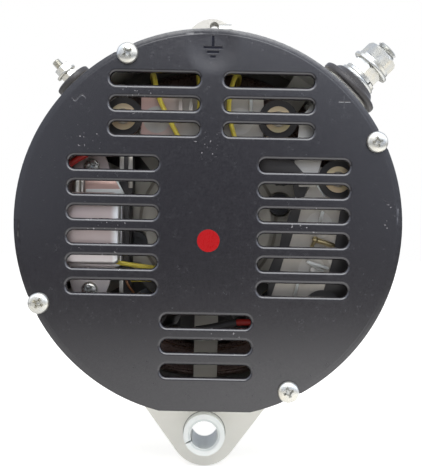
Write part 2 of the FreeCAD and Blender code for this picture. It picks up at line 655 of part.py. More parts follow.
def front_bracket():
    rear = STATOR_FRONT - LAP_DEPTH
    flange_front = STATOR_FRONT + FRONT_FLANGE_THICKNESS
    ear_front = STATOR_FRONT + EAR_THICKNESS
    hub_front = FRONT_BEARING_FRONT + FRONT_LIP_THICKNESS
    lug = cylinder(LUG_RADIUS, rear, flange_front, THROUGH_CIRCLE)
    ear = cylinder(EAR_RADIUS, STATOR_FRONT, ear_front, 0, EAR_CENTRE)
    ear = ear.fuse(block((-EAR_RADIUS, EAR_RADIUS), (STATOR_FRONT, ear_front),
                         (FRONT_WALL_BORE, EAR_CENTRE)))
    shell = [cylinder(LAP_RADIUS, rear, flange_front),
             cylinder(FRONT_WALL_RADIUS, STATOR_FRONT, FRONT_WEB_FRONT), ear]
    shell += [turned(lug, a) for a in through_places()]
    body = joined(shell)
    body = body.cut(cylinder(FRONT_WALL_BORE, rear - OVERCUT, FRONT_WEB_FRONT + OVERCUT))
    body = body.cut(cylinder(STATOR_RADIUS, rear - OVERCUT, STATOR_FRONT))
    spoke = block((FRONT_HUB_RADIUS - SPOKE_ROOT, FRONT_WALL_BORE + SPOKE_ROOT),
                  (FRONT_WEB_FRONT - FRONT_WEB_THICKNESS, FRONT_WEB_FRONT),
                  (-FRONT_SPOKE_WIDTH / 2, FRONT_SPOKE_WIDTH / 2))
    body = joined([body, cylinder(FRONT_HUB_RADIUS, FRONT_BEARING_REAR, hub_front)]
                  + around(spoke, FRONT_SPOKES, FRONT_SPOKE_ANGLE))
    cuts = [cylinder(FRONT_BEARING["outer"], FRONT_BEARING_REAR - OVERCUT, FRONT_BEARING_FRONT),
            cylinder(FRONT_LIP_BORE, FRONT_BEARING_REAR, hub_front + OVERCUT)]
    hole = cylinder(THROUGH_RADIUS + SCREW_CLEARANCE, rear - OVERCUT, flange_front + OVERCUT,
                    THROUGH_CIRCLE)
    cuts += [turned(hole, a) for a in through_places()]
    screw = cylinder(RETAINER_SCREW_RADIUS, FRONT_BEARING_REAR - OVERCUT,
                     RETAINER_REAR + RETAINER_SCREW_LENGTH, RETAINER_SCREW_CIRCLE)
    cuts += around(screw, RETAINER_SCREWS, RETAINER_SCREW_ANGLE)
    top = EAR_CENTRE + EAR_RADIUS - EAR_SLOT_TOP
    middle = top - EAR_SLOT_HEIGHT / 2
    window = obround(EAR_SLOT_HEIGHT, EAR_SLOT_WIDTH, 0, 0, STATOR_FRONT - OVERCUT,
                     ear_front + OVERCUT)
    window = turned(window, 90.0)
    window.translate(V(EAR_SLOT_SHIFT, 0, middle))
    return body.cut(Part.makeCompound(cuts + [window, ear_screw()]))


def through_bolts():
    start = LAP_END - THROUGH_BITE
    seat = STATOR_FRONT + FRONT_FLANGE_THICKNESS
    head = axial(hexagon(THROUGH_HEAD_FLATS, 0, THROUGH_HEAD_HEIGHT, 0), THROUGH_CIRCLE, 0, seat)
    bolt = head.fuse(cylinder(THROUGH_RADIUS, start, seat, THROUGH_CIRCLE))
    return [turned(bolt, a) for a in through_places()]


def stator_core():
    core = ring(STATOR_RADIUS, STATOR_BORE, STATOR_REAR, STATOR_FRONT)
    along = (STATOR_REAR - OVERCUT, STATOR_FRONT + OVERCUT)
    slot = block((STATOR_SLOT_START, STATOR_SLOT_END), along,
                 (-STATOR_SLOT_WIDTH / 2, STATOR_SLOT_WIDTH / 2))
    mouth = block((STATOR_BORE - OVERCUT, STATOR_SLOT_START + OVERCUT), along,
                  (-STATOR_SLOT_MOUTH / 2, STATOR_SLOT_MOUTH / 2))
    return core.cut(Part.makeCompound(around(slot.fuse(mouth), STATOR_SLOTS)))


def stator_winding():
    half = STATOR_SLOT_WIDTH / 2 - COIL_SIDE_GAP
    side = block((STATOR_SLOT_START + COIL_SIDE_GAP, STATOR_SLOT_END - COIL_SIDE_GAP),
                 (STATOR_REAR - OVERCUT, STATOR_FRONT + OVERCUT), (-half, half))
    rings = []
    for y0, outer_y in ((STATOR_REAR - END_TURN_LENGTH, STATOR_REAR - END_TURN_LENGTH),
                        (STATOR_FRONT, STATOR_FRONT + END_TURN_LENGTH)):
        turn = ring(END_TURN_RADIUS, END_TURN_BORE, y0, y0 + END_TURN_LENGTH)
        far = [e for e in turn.Edges if e.BoundBox.YLength < 1e-6
               and abs(e.BoundBox.YMax - outer_y) < 1e-6]
        rings.append(turn.makeFillet(END_TURN_ROUND, far))
    return joined(rings + around(side, STATOR_SLOTS))


def field_core():
    step = POLE_REAR + POLE_DISC
    flange_front = WEB_FRONT + FIELD_FLANGE
    core = revolved([(FIELD_BORE_RADIUS, WEB_FRONT), (FIELD_FLANGE_RADIUS, WEB_FRONT),
                     (FIELD_FLANGE_RADIUS, flange_front), (FIELD_STEP_RADIUS, flange_front),
                     (FIELD_STEP_RADIUS, step), (FIELD_TUBE_RADIUS, step),
                     (FIELD_TUBE_RADIUS, FIELD_TUBE_FRONT), (FIELD_BORE_RADIUS, FIELD_TUBE_FRONT)])
    hole = cylinder(FIELD_BOLT_RADIUS, WEB_FRONT - OVERCUT, flange_front, FIELD_BOLT_CIRCLE)
    return core.cut(Part.makeCompound(around(hole, FIELD_BOLTS, FIELD_BOLT_ANGLE)))


def field_coil():
    coil = ring(COIL_RADIUS, FIELD_TUBE_RADIUS, COIL_REAR, COIL_FRONT)
    rims = [e for e in coil.Edges if e.BoundBox.YLength < 1e-6
            and e.BoundBox.XLength > COIL_RADIUS + FIELD_TUBE_RADIUS]
    return coil.makeFillet(COIL_ROUND, rims)


def field_bolts():
    seat = HUB_DISC_REAR + FIELD_RECESS_DEPTH
    head = cylinder(FIELD_BOLT_HEAD, seat - FIELD_BOLT_HEAD_HEIGHT, seat, FIELD_BOLT_CIRCLE)
    socket = axial(hexagon(FIELD_BOLT_SOCKET, 0, FIELD_BOLT_SOCKET_DEPTH, 0), FIELD_BOLT_CIRCLE, 0,
                   seat - FIELD_BOLT_HEAD_HEIGHT)
    end = WEB_FRONT + FIELD_FLANGE - FIELD_BOLT_SHORT
    shank = cylinder(FIELD_BOLT_RADIUS, seat, end, FIELD_BOLT_CIRCLE)
    return around(head.cut(socket).fuse(shank), FIELD_BOLTS, FIELD_BOLT_ANGLE)


def bearing(size, rear):
    pitch = (size["outer"] + size["inner"]) / 2.0
    middle = rear + size["width"] / 2.0
    groove = Part.makeTorus(pitch, size["ball"] + BALL_PLAY, V(0, middle, 0), V(0, 1, 0))
    half_gap = RACE_GAP / 2.0
    outer = ring(size["outer"], pitch + half_gap, rear, rear + size["width"]).cut(groove)
    inner = ring(pitch - half_gap, size["inner"], rear, rear + size["width"]).cut(groove)
    cage = ring(pitch + CAGE_THICKNESS / 2, pitch - CAGE_THICKNESS / 2,
                middle - CAGE_WIDTH / 2, middle + CAGE_WIDTH / 2)
    ball = Part.makeSphere(size["ball"], V(pitch, middle, 0))
    return outer, inner, joined([cage] + around(ball, size["balls"]))


def retainer():
    plate = ring(RETAINER_RADIUS, RETAINER_BORE, RETAINER_REAR, FRONT_BEARING_REAR)
    hole = cylinder(RETAINER_SCREW_RADIUS, RETAINER_REAR - OVERCUT, FRONT_BEARING_REAR + OVERCUT,
                    RETAINER_SCREW_CIRCLE)
    return plate.cut(Part.makeCompound(around(hole, RETAINER_SCREWS, RETAINER_SCREW_ANGLE)))


def retainer_screws():
    screw = cylinder(RETAINER_HEAD_RADIUS, RETAINER_REAR - RETAINER_HEAD_HEIGHT, RETAINER_REAR,
                     RETAINER_SCREW_CIRCLE)
    shank = cylinder(RETAINER_SCREW_RADIUS, RETAINER_REAR, RETAINER_REAR + RETAINER_SCREW_LENGTH,
                     RETAINER_SCREW_CIRCLE)
    return around(screw.fuse(shank), RETAINER_SCREWS, RETAINER_SCREW_ANGLE)


def claw(base, tip):
    # One tapered finger, cut from the pole's cylinder, rooted in its disc and thinner beyond it.
    half_base = CLAW_BASE_WIDTH / 2.0
    half_tip = CLAW_TIP_WIDTH / 2.0
    start = POLE_WAIST - CLAW_ROOT
    corners = [V(start, base, -half_base), V(start, base, half_base),
               V(start, tip, half_tip), V(start, tip, -half_tip)]
    finger = Part.Face(Part.makePolygon(corners + corners[:1])).extrude(V(POLE_RADIUS, 0, 0))
    step = POLE_DISC if tip > base else -POLE_DISC
    root = finger.common(ring(POLE_RADIUS, start, min(base, base + step), max(base, base + step)))
    reach = finger.common(ring(POLE_RADIUS, POLE_INNER, min(base, tip), max(base, tip)))
    return root.fuse(reach)


def front_pole():
    disc_rear = POLE_FRONT - POLE_DISC
    finger = claw(POLE_FRONT, POLE_REAR + CLAW_TIP_CLEARANCE)
    body = joined([ring(POLE_WAIST, SHAFT_RADIUS, disc_rear, POLE_FRONT),
                   ring(POLE_HUB_RADIUS, SHAFT_RADIUS, POLE_HUB_REAR, disc_rear)]
                  + around(finger, CLAWS))
    return body


def rear_pole():
    finger = claw(POLE_REAR, POLE_FRONT - CLAW_TIP_CLEARANCE)
    bore = FIELD_STEP_RADIUS + AIR_GAP
    return joined([ring(POLE_WAIST, bore, POLE_REAR, POLE_REAR + POLE_DISC)]
                  + around(finger, CLAWS, 180.0 / CLAWS))


def pole_ring():
    middle = (POLE_REAR + POLE_FRONT) / 2.0
    return ring(POLE_INNER, POLE_INNER - RING_WALL, middle - RING_LENGTH / 2,
                middle + RING_LENGTH / 2)


def shaft():
    journal_start = REAR_BEARING_REAR + SHAFT_REAR_GAP
    seat_front = PULLEY_SEAT_FRONT - SHAFT_SEAT_SHORT
    body = revolved([(0, journal_start), (REAR_BEARING["inner"], journal_start),
                     (REAR_BEARING["inner"], WEB_FRONT), (SHAFT_RADIUS, WEB_FRONT),
                     (SHAFT_RADIUS, FRONT_BEARING_FRONT), (PULLEY_SEAT_RADIUS, FRONT_BEARING_FRONT),
                     (PULLEY_SEAT_RADIUS, seat_front), (SHAFT_THREAD_RADIUS, seat_front),
                     (SHAFT_THREAD_RADIUS, SHAFT_END - SHAFT_CHAMFER),
                     (SHAFT_THREAD_RADIUS - SHAFT_CHAMFER, SHAFT_END), (0, SHAFT_END)])
    return body.cut(key_block())


def key_block():
    start = PULLEY_REAR + KEY_INSET
    centre = PULLEY_SEAT_RADIUS
    return block((-KEY_WIDTH / 2, KEY_WIDTH / 2), (start, start + KEY_LENGTH),
                 (centre - KEY_HEIGHT / 2, centre + KEY_HEIGHT / 2))


def fan():
    disc = ring(FAN_DISC_RADIUS, PULLEY_SEAT_RADIUS, FAN_REAR, FAN_REAR + FAN_SHEET)
    blade = block((FAN_BLADE_ROOT, FAN_BLADE_RADIUS),
                  (FAN_REAR - FAN_BLADE_DEPTH, FAN_REAR + FAN_SHEET), (0, FAN_SHEET))
    blade.rotate(V(FAN_BLADE_ROOT, 0, 0), V(0, -1, 0), FAN_BLADE_SWEEP)
    keep = cylinder(FAN_BLADE_RADIUS, FAN_REAR - FAN_BLADE_DEPTH, FAN_REAR + FAN_SHEET)
    return joined([disc] + around(blade.common(keep), FAN_BLADES))


def pulley():
    front = PULLEY_REAR + PULLEY_LENGTH
    body = revolved([(PULLEY_SEAT_RADIUS, PULLEY_REAR), (PULLEY_RADIUS, PULLEY_REAR),
                     (PULLEY_RADIUS, front), (PULLEY_RECESS_RADIUS, front),
                     (PULLEY_RECESS_RADIUS, PULLEY_SEAT_FRONT),
                     (PULLEY_SEAT_RADIUS, PULLEY_SEAT_FRONT)])
    depth = PULLEY_RADIUS - PULLEY_ROOT
    half_top = GROOVE_TOP_WIDTH / 2.0
    half_root = half_top - depth * math.tan(math.radians(GROOVE_ANGLE / 2))
    for i in range(GROOVES):
        middle = PULLEY_REAR + PULLEY_LENGTH / 2 + (i - (GROOVES - 1) / 2.0) * GROOVE_PITCH
        vee = [(PULLEY_ROOT, middle - half_root), (PULLEY_RADIUS, middle - half_top),
               (PULLEY_RADIUS + OVERCUT, middle - half_top),
               (PULLEY_RADIUS + OVERCUT, middle + half_top),
               (PULLEY_RADIUS, middle + half_top), (PULLEY_ROOT, middle + half_root)]
        body = body.cut(revolved(vee))
    return body.cut(key_block())


def lock_washer():
    front = PULLEY_SEAT_FRONT + LOCK_WASHER_THICKNESS
    body = ring(LOCK_WASHER_RADIUS, SHAFT_THREAD_RADIUS, PULLEY_SEAT_FRONT, front)
    slit = block((0, LOCK_WASHER_RADIUS + OVERCUT), (PULLEY_SEAT_FRONT - OVERCUT, front + OVERCUT),
                 (-WASHER_SLIT / 2, WASHER_SLIT / 2))
    return body.cut(slit)


def pulley_nut():
    seat = PULLEY_SEAT_FRONT + LOCK_WASHER_THICKNESS
    nut = axial(hexagon(NUT_FLATS, 0, NUT_HEIGHT, 0), 0, 0, seat)
    return nut.cut(cylinder(SHAFT_THREAD_RADIUS, seat - OVERCUT, seat + NUT_HEIGHT + OVERCUT))


def plate_holes(diodes, bolts):
    ends = (PLATE_REAR - OVERCUT, PLATE_FRONT + OVERCUT)
    holes = [cylinder(DIODE_RADIUS, *ends, x, z) for x, z in diodes]
    holes += [cylinder(SINK_BOLT_RADIUS, *ends, x, z) for x, z in bolts]
    return Part.makeCompound(holes)


def top_heat_sink():
    bolts = [SINK_BOLTS["upper_left"], SINK_BOLTS["upper_right"]]
    parts = [block(TOP_PLATE_X, (PLATE_REAR, PLATE_FRONT), TOP_PLATE_Z)]
    parts += [cylinder(SINK_RING_RADIUS, PLATE_REAR, PLATE_FRONT, x, z) for x, z in bolts]
    parts += [block((x, x + FIN_WIDTH), (PLATE_REAR - FIN_HEIGHT, PLATE_REAR), FIN_Z) for x in FIN_X]
    return joined(parts).cut(plate_holes(TOP_DIODES, bolts))


def side_heat_sink():
    # The inner edge is a shallow arc; the outer edge follows the drum.
    bolts = [SINK_BOLTS["right"], SIDE_BOLT_LOW]
    middle = V((SIDE_EDGE_TOP[0] + SIDE_EDGE_BOTTOM[0]) / 2 - SIDE_EDGE_BOW, PLATE_REAR,
               (SIDE_EDGE_TOP[1] + SIDE_EDGE_BOTTOM[1]) / 2)
    top = V(SIDE_EDGE_TOP[0], PLATE_REAR, SIDE_EDGE_TOP[1])
    bottom = V(SIDE_EDGE_BOTTOM[0], PLATE_REAR, SIDE_EDGE_BOTTOM[1])
    corners = [bottom, V(SIDE_EDGE_BOTTOM[0], PLATE_REAR, SIDE_PLATE_BOTTOM),
               V(SIDE_PLATE_RADIUS, PLATE_REAR, SIDE_PLATE_BOTTOM),
               V(SIDE_PLATE_RADIUS, PLATE_REAR, SIDE_PLATE_TOP),
               V(SIDE_EDGE_TOP[0], PLATE_REAR, SIDE_PLATE_TOP), top]
    edges = [Part.makeLine(a, b) for a, b in zip(corners, corners[1:])]
    edges.append(Part.Arc(top, middle, bottom).toShape())
    blank = Part.Face(Part.Wire(edges)).extrude(V(0, PLATE_THICKNESS, 0))
    blank = blank.common(cylinder(SIDE_PLATE_RADIUS, PLATE_REAR, PLATE_FRONT))
    return blank.cut(plate_holes(SIDE_DIODES, bolts))


def diodes(places):
    bodies = []
    for x, z in places:
        can = cylinder(DIODE_RADIUS, PLATE_REAR, PLATE_REAR + DIODE_BODY, x, z)
        pin = cylinder(DIODE_PIN_RADIUS, PLATE_REAR - DIODE_PIN_LENGTH, PLATE_REAR, x, z)
        bodies.append(can.fuse(pin))
    return bodies


def sink_spacers():
    return [ring(SINK_RING_RADIUS, SINK_BOLT_RADIUS, PLATE_FRONT, SPACER_FRONT, x, z)
            for x, z in sink_bolt_places()]


def sink_rings():
    return [ring(SINK_RING_RADIUS, SINK_BOLT_RADIUS, SINK_RING_REAR, PLATE_REAR, x, z)
            for x, z in sink_bolt_places()]


def sink_washers():
    return [ring(SINK_WASHER_RADIUS, SINK_BOLT_RADIUS, SINK_WASHER_REAR, SINK_RING_REAR, x, z)
            for x, z in sink_bolt_places()]


def sink_bolts():
    seat = SINK_WASHER_REAR
    end = SPACER_FRONT + SINK_BOLT_BITE
    return [cylinder(SINK_HEAD_RADIUS, seat - SINK_HEAD_HEIGHT, seat, x, z)
            .fuse(cylinder(SINK_BOLT_RADIUS, seat, end, x, z)) for x, z in sink_bolt_places()]


def regulator_can():
    half_x = REGULATOR_WIDTH / 2.0
    half_z = REGULATOR_HEIGHT / 2.0
    rear = REGULATOR_BASE_REAR - REGULATOR_DEPTH
    can = block((REGULATOR_X - half_x, REGULATOR_X + half_x), (rear, REGULATOR_BASE_REAR),
                (REGULATOR_Z - half_z, REGULATOR_Z + half_z))
    upright = [e for e in can.Edges if e.BoundBox.YLength > REGULATOR_DEPTH / 2]
    can = can.makeFillet(REGULATOR_ROUND, upright)
    crown = [e for e in can.Edges if abs(e.BoundBox.YMax - rear) < 1e-6]
    return can.makeFillet(REGULATOR_CROWN_ROUND, crown)


def regulator_base():
    # A lozenge: a round middle tapering to two screw ears.
    ends = (REGULATOR_BASE_REAR, REGULATOR_BASE_FRONT)
    parts = [cylinder(REGULATOR_BASE_RADIUS, *ends, REGULATOR_X, REGULATOR_Z)]
    parts += [cylinder(REGULATOR_EAR_RADIUS, *ends, x, z) for x, z in regulator_screw_places()]
    span = REGULATOR_SCREW_SPAN / 2.0
    lean = math.asin((REGULATOR_BASE_RADIUS - REGULATOR_EAR_RADIUS) / span)
    for up in (1, -1):
        corners = []
        for side in (1, -1):
            for radius, z in ((REGULATOR_BASE_RADIUS, 0.0), (REGULATOR_EAR_RADIUS, span)):
                corners.append(V(REGULATOR_X + side * radius * math.cos(lean), REGULATOR_BASE_REAR,
                                 REGULATOR_Z + up * (z + radius * math.sin(lean))))
        loop = [corners[0], corners[1], corners[3], corners[2], corners[0]]
        parts.append(Part.Face(Part.makePolygon(loop)).extrude(V(0, REGULATOR_BASE_THICKNESS, 0)))
    holes = [cylinder(REGULATOR_SCREW_RADIUS, REGULATOR_BASE_REAR - OVERCUT,
                      REGULATOR_BASE_FRONT + OVERCUT, x, z) for x, z in regulator_screw_places()]
    return joined(parts).cut(Part.makeCompound(holes))


def regulator_screws():
    end = REGULATOR_BASE_FRONT + REGULATOR_SCREW_BITE
    return [cylinder(REGULATOR_HEAD_RADIUS, REGULATOR_BASE_REAR - REGULATOR_HEAD_HEIGHT,
                     REGULATOR_BASE_REAR, x, z)
            .fuse(cylinder(REGULATOR_SCREW_RADIUS, REGULATOR_BASE_REAR, end, x, z))
            for x, z in regulator_screw_places()]


def split_washer(outer, inner, start, thickness):
    body = radial_ring(outer, inner, start, start + thickness, TERMINAL_DEPTH)
    slit = block((start - OVERCUT, start + thickness + OVERCUT),
                 (TERMINAL_DEPTH - outer - OVERCUT, TERMINAL_DEPTH),
                 (-WASHER_SLIT / 2, WASHER_SLIT / 2))
    return body.cut(slit)


def wall_inner(radius):
    # How far out from the shaft the wall's inside is, at this distance from a terminal's axis.
    return math.sqrt(WALL_INSIDE ** 2 - radius ** 2)


def terminal_insulator(flange, flange_height, collar, bore):
    # Outer flange on the wall's pad, with a collar down the hole in the wall.
    top = TERMINAL_SEAT + flange_height
    inside = wall_inner(collar)
    body = radial_cylinder(flange, TERMINAL_SEAT, top, TERMINAL_DEPTH)
    body = body.fuse(radial_cylinder(collar, inside, TERMINAL_SEAT, TERMINAL_DEPTH))
    return body.cut(radial_cylinder(bore, inside - OVERCUT, top + OVERCUT, TERMINAL_DEPTH))


def terminal_dome():
    # The tapered boss on the main insulator's flange.
    start = TERMINAL_SEAT + MAIN_FLANGE
    cone = Part.makeCone(MAIN_DOME_RADIUS, MAIN_DOME_TOP_RADIUS, MAIN_DOME,
                         V(start, TERMINAL_DEPTH, 0), V(1, 0, 0))
    return cone.cut(radial_cylinder(MAIN_STUD_RADIUS, start - OVERCUT, start + MAIN_DOME + OVERCUT,
                                    TERMINAL_DEPTH))


def terminal_stud(radius, flats, base, height, tip):
    head = hexagon(flats, base, base + height, TERMINAL_DEPTH, CORNER_TURN)
    return head.fuse(radial_cylinder(radius, base + height, tip, TERMINAL_DEPTH))


def terminal_nut(flats, bore, start, height, twist=0.0):
    nut = hexagon(flats, start, start + height, TERMINAL_DEPTH, twist)
    return nut.cut(radial_cylinder(bore, start - OVERCUT, start + height + OVERCUT, TERMINAL_DEPTH))


def inner_flange(outer, bore, height):
    # The insulating bush between the stud's head and the inside of the wall.
    end = wall_inner(outer)
    return radial_ring(outer, bore, end - height, end, TERMINAL_DEPTH)


def strap_tab():
    # Where the strap's tab lies along the main stud: against its inner bush.
    end = wall_inner(MAIN_INNER_FLANGE_RADIUS) - MAIN_BUSH_HEIGHT
    return end - STRAP_THICKNESS, end


def main_terminal():
    insulator = terminal_insulator(MAIN_FLANGE_RADIUS, MAIN_FLANGE, MAIN_COLLAR_RADIUS,
                                   MAIN_STUD_RADIUS)
    place = TERMINAL_SEAT + MAIN_FLANGE + MAIN_DOME
    washers, springs, nuts = [], [], []
    for radius, height, twist in zip(MAIN_WASHER_RADII, MAIN_NUT_HEIGHTS, (0.0, CORNER_TURN)):
        washers.append(radial_ring(radius, MAIN_STUD_RADIUS, place, place + MAIN_WASHER_THICKNESS,
                                   TERMINAL_DEPTH))
        place += MAIN_WASHER_THICKNESS
        springs.append(split_washer(MAIN_SPRING_RADIUS, MAIN_STUD_RADIUS, place,
                                    MAIN_SPRING_THICKNESS))
        place += MAIN_SPRING_THICKNESS
        nuts.append(terminal_nut(MAIN_HEAD_FLATS, MAIN_STUD_RADIUS, place, height, twist))
        place += height
    stud = terminal_stud(MAIN_STUD_RADIUS, MAIN_HEAD_FLATS, strap_tab()[0] - MAIN_HEAD_HEIGHT,
                         MAIN_HEAD_HEIGHT, place + MAIN_THREAD_END)
    pieces = {"b_insulator": [insulator.fuse(terminal_dome())],
              "b_inner_bush": [inner_flange(MAIN_INNER_FLANGE_RADIUS, MAIN_STUD_RADIUS,
                                            MAIN_BUSH_HEIGHT)],
              "b_stud": [stud], "b_washers": washers, "b_spring_washers": springs, "b_nuts": nuts}
    return {name: [turned(s, MAIN_ANGLE) for s in solids] for name, solids in pieces.items()}


def b_strap():
    # Lies on the side heat sink and turns down between the stud's head and its inner bush.
    rear = PLATE_REAR - STRAP_THICKNESS
    start, end = strap_tab()
    half = STRAP_WIDTH / 2.0
    low = math.hypot(*STRAP_FOOT[4]) - STRAP_LAP
    corners = [V(x, rear, z) for x, z in STRAP_FOOT]
    foot_plate = Part.Face(Part.makePolygon(corners + corners[:1])).extrude(V(0, STRAP_THICKNESS, 0))
    arm = block((low, end), (rear, PLATE_REAR), (-half, half))
    tab = block((start, end), (rear, TERMINAL_DEPTH + half), (-half, half))
    tab = tab.cut(radial_cylinder(MAIN_STUD_RADIUS, start - OVERCUT, end + OVERCUT, TERMINAL_DEPTH))
    return joined([foot_plate, turned(arm, MAIN_ANGLE), turned(tab, MAIN_ANGLE)])


def signal_terminal():
    place = TERMINAL_SEAT + SIGNAL_FLANGE
    washer_start = place + SIGNAL_NUT_HEIGHT
    washer_end = washer_start + SIGNAL_WASHER_THICKNESS
    base = wall_inner(SIGNAL_INNER_FLANGE_RADIUS) - SIGNAL_BUSH_HEIGHT - SIGNAL_HEAD_HEIGHT
    tip = washer_end + SIGNAL_NUT_HEIGHT + SIGNAL_THREAD_END
    pieces = {"r_insulator": [terminal_insulator(SIGNAL_FLANGE_RADIUS, SIGNAL_FLANGE,
                                                 SIGNAL_COLLAR_RADIUS, SIGNAL_STUD_RADIUS)],
              "r_inner_bush": [inner_flange(SIGNAL_INNER_FLANGE_RADIUS, SIGNAL_STUD_RADIUS,
                                            SIGNAL_BUSH_HEIGHT)],
              "r_stud": [terminal_stud(SIGNAL_STUD_RADIUS, SIGNAL_HEAD_FLATS, base,
                                       SIGNAL_HEAD_HEIGHT, tip)]}
    pieces["r_nuts"] = [terminal_nut(SIGNAL_HEAD_FLATS, SIGNAL_STUD_RADIUS, start, SIGNAL_NUT_HEIGHT)
                        for start in (place, washer_end)]
    pieces["r_washer"] = [radial_ring(SIGNAL_WASHER_RADIUS, SIGNAL_STUD_RADIUS, washer_start,
                                      washer_end, TERMINAL_DEPTH)]
    return {name: [turned(s, SIGNAL_ANGLE) for s in solids] for name, solids in pieces.items()}


def ear_screw():
    # A grub screw lying along X, half sunk in the ear's rear face beside the slot.
    start = EAR_SLOT_SHIFT + EAR_SLOT_WIDTH / 2
    height = EAR_CENTRE + EAR_RADIUS - EAR_SCREW_DROP
    return Part.makeCylinder(EAR_SCREW_RADIUS, EAR_SCREW_LENGTH, V(start, STATOR_FRONT, height),
                             V(1, 0, 0))


def lead(name, route, radius):
    # Straight runs joined by tangent arcs, as large as the runs allow.
    points = [V(*p) for p in route]
    edges = []
    at = points[0]
    radii = []
    for before, corner, after in zip(points, points[1:], points[2:]):
        back = before - corner
        on = after - corner
        half_turn = (math.pi - back.getAngle(on)) / 2.0
        cut = LEAD_ARC_SHARE * min(back.Length, on.Length)
        radii.append(round(cut / math.tan(half_turn), 1))
        first = corner + back.normalize() * cut
        last = corner + on.normalize() * cut
        sag = radii[-1] * (1 / math.cos(half_turn) - 1)
        inward = (back + on).normalize()
        edges += [Part.makeLine(at, first), Part.Arc(first, corner + inward * sag, last).toShape()]
        at = last
    edges.append(Part.makeLine(at, points[-1]))
    path = Part.Wire(edges)
    section = Part.Wire(Part.makeCircle(radius, points[0], points[1] - points[0]))
    tube = path.makePipeShell([section], True, True)
    print(name, "arc radii", radii, "length", round(path.Length, 1), "volume share",
          round(tube.Volume / (math.pi * radius ** 2 * path.Length), 4))
    return tube


def stator_leads():
    return [lead("stator lead", route, LEAD_RADIUS) for route in STATOR_LEAD_ROUTES]


def all_nodes():
    rear_outer, rear_inner, rear_balls = bearing(REAR_BEARING, REAR_BEARING_REAR)
    front_outer, front_inner, front_balls = bearing(FRONT_BEARING, FRONT_BEARING_REAR)
    nodes = {
        "rear_cover": [rear_cover()], "rear_cover_screws": cover_screws(),
        "rear_bracket": [rear_bracket()], "bracket_foot": [bracket_foot()],
        "pivot_bush": [pivot_bush()],
        "front_bracket": [front_bracket()], "through_bolts": through_bolts(),
        "stator_core": [stator_core()], "stator_winding": [stator_winding()],
        "field_core": [field_core()], "field_coil": [field_coil()], "field_bolts": field_bolts(),
        "rear_bearing_outer": [rear_outer], "rear_bearing_inner": [rear_inner],
        "rear_bearing_balls": [rear_balls], "front_bearing_outer": [front_outer],
        "front_bearing_inner": [front_inner], "front_bearing_balls": [front_balls],
        "bearing_retainer": [retainer()], "retainer_screws": retainer_screws(),
        "top_heat_sink": [top_heat_sink()], "side_heat_sink": [side_heat_sink()],
        "top_diodes": diodes(TOP_DIODES), "side_diodes": diodes(SIDE_DIODES),
        "sink_spacers": sink_spacers(), "sink_rings": sink_rings(), "sink_washers": sink_washers(),
        "sink_bolts": sink_bolts(), "regulator_can": [regulator_can()],
        "regulator_base": [regulator_base()], "regulator_screws": regulator_screws(),
        "shaft": [shaft()], "front_pole": [front_pole()], "rear_pole": [rear_pole()],
        "pole_ring": [pole_ring()],
        "bearing_spacer": [ring(COLLAR_RADIUS, SHAFT_RADIUS, POLE_FRONT, FRONT_BEARING_REAR)],
        "fan_spacer": [ring(COLLAR_RADIUS, PULLEY_SEAT_RADIUS, FRONT_BEARING_FRONT, FAN_REAR)],
        "fan": [fan()], "pulley": [pulley()], "pulley_key": [key_block()],
        "lock_washer": [lock_washer()], "pulley_nut": [pulley_nut()],
    }
    nodes["b_strap"] = [b_strap()]
    nodes["ear_screw"] = [ear_screw()]
    nodes["stator_leads"] = stator_leads()
    nodes["red_lead"] = [lead("red lead", RED_LEAD_ROUTE, RED_LEAD_RADIUS)]
    nodes.update(main_terminal())
    nodes.update(signal_terminal())
    return nodes


def main():
    os.makedirs("parts", exist_ok=True)
    shift = V(0, -BUSH_REAR, PIVOT_DROP)
    for name, solids in all_nodes().items():
        shape = solids[0] if len(solids) == 1 else Part.makeCompound(solids)
        shape = shape.copy()
        shape.translate(shift)
        print(name, len(shape.Solids), round(shape.Volume, 1), shape.isValid())
        shape.exportStep("parts/" + name + ".step")


main()
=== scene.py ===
# %% [markdown]
# A vehicle alternator seen from its rear, dressed around a fixed frame.
# The frame already holds every carried piece at its real size, so this file only adds the
# finishes, the small fasteners' detail and the photograph's camera, light and floor.

# %% Load the fixed frame
import json
import math

import bmesh
import bpy
from mathutils import Matrix, Vector


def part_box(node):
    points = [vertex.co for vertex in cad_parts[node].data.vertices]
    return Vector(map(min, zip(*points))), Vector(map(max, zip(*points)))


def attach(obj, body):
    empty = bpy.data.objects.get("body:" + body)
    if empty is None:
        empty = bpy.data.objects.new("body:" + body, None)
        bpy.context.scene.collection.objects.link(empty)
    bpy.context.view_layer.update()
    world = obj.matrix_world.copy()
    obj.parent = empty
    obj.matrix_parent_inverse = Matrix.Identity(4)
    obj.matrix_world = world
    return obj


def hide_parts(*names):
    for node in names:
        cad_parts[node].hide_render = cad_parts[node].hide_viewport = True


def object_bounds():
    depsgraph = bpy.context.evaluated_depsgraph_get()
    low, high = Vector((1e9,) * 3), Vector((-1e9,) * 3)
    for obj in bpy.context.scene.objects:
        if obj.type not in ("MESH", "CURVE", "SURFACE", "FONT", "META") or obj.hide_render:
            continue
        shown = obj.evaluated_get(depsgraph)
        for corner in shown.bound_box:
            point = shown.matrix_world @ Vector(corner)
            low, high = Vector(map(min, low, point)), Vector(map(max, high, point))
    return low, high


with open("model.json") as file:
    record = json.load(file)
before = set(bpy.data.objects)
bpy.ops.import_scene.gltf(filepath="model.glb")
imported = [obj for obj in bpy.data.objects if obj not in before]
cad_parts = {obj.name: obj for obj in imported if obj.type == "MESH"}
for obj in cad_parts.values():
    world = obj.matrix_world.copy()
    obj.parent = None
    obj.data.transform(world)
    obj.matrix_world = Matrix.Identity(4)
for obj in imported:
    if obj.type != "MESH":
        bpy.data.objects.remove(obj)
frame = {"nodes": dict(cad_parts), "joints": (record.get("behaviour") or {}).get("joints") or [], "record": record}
frame_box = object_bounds()
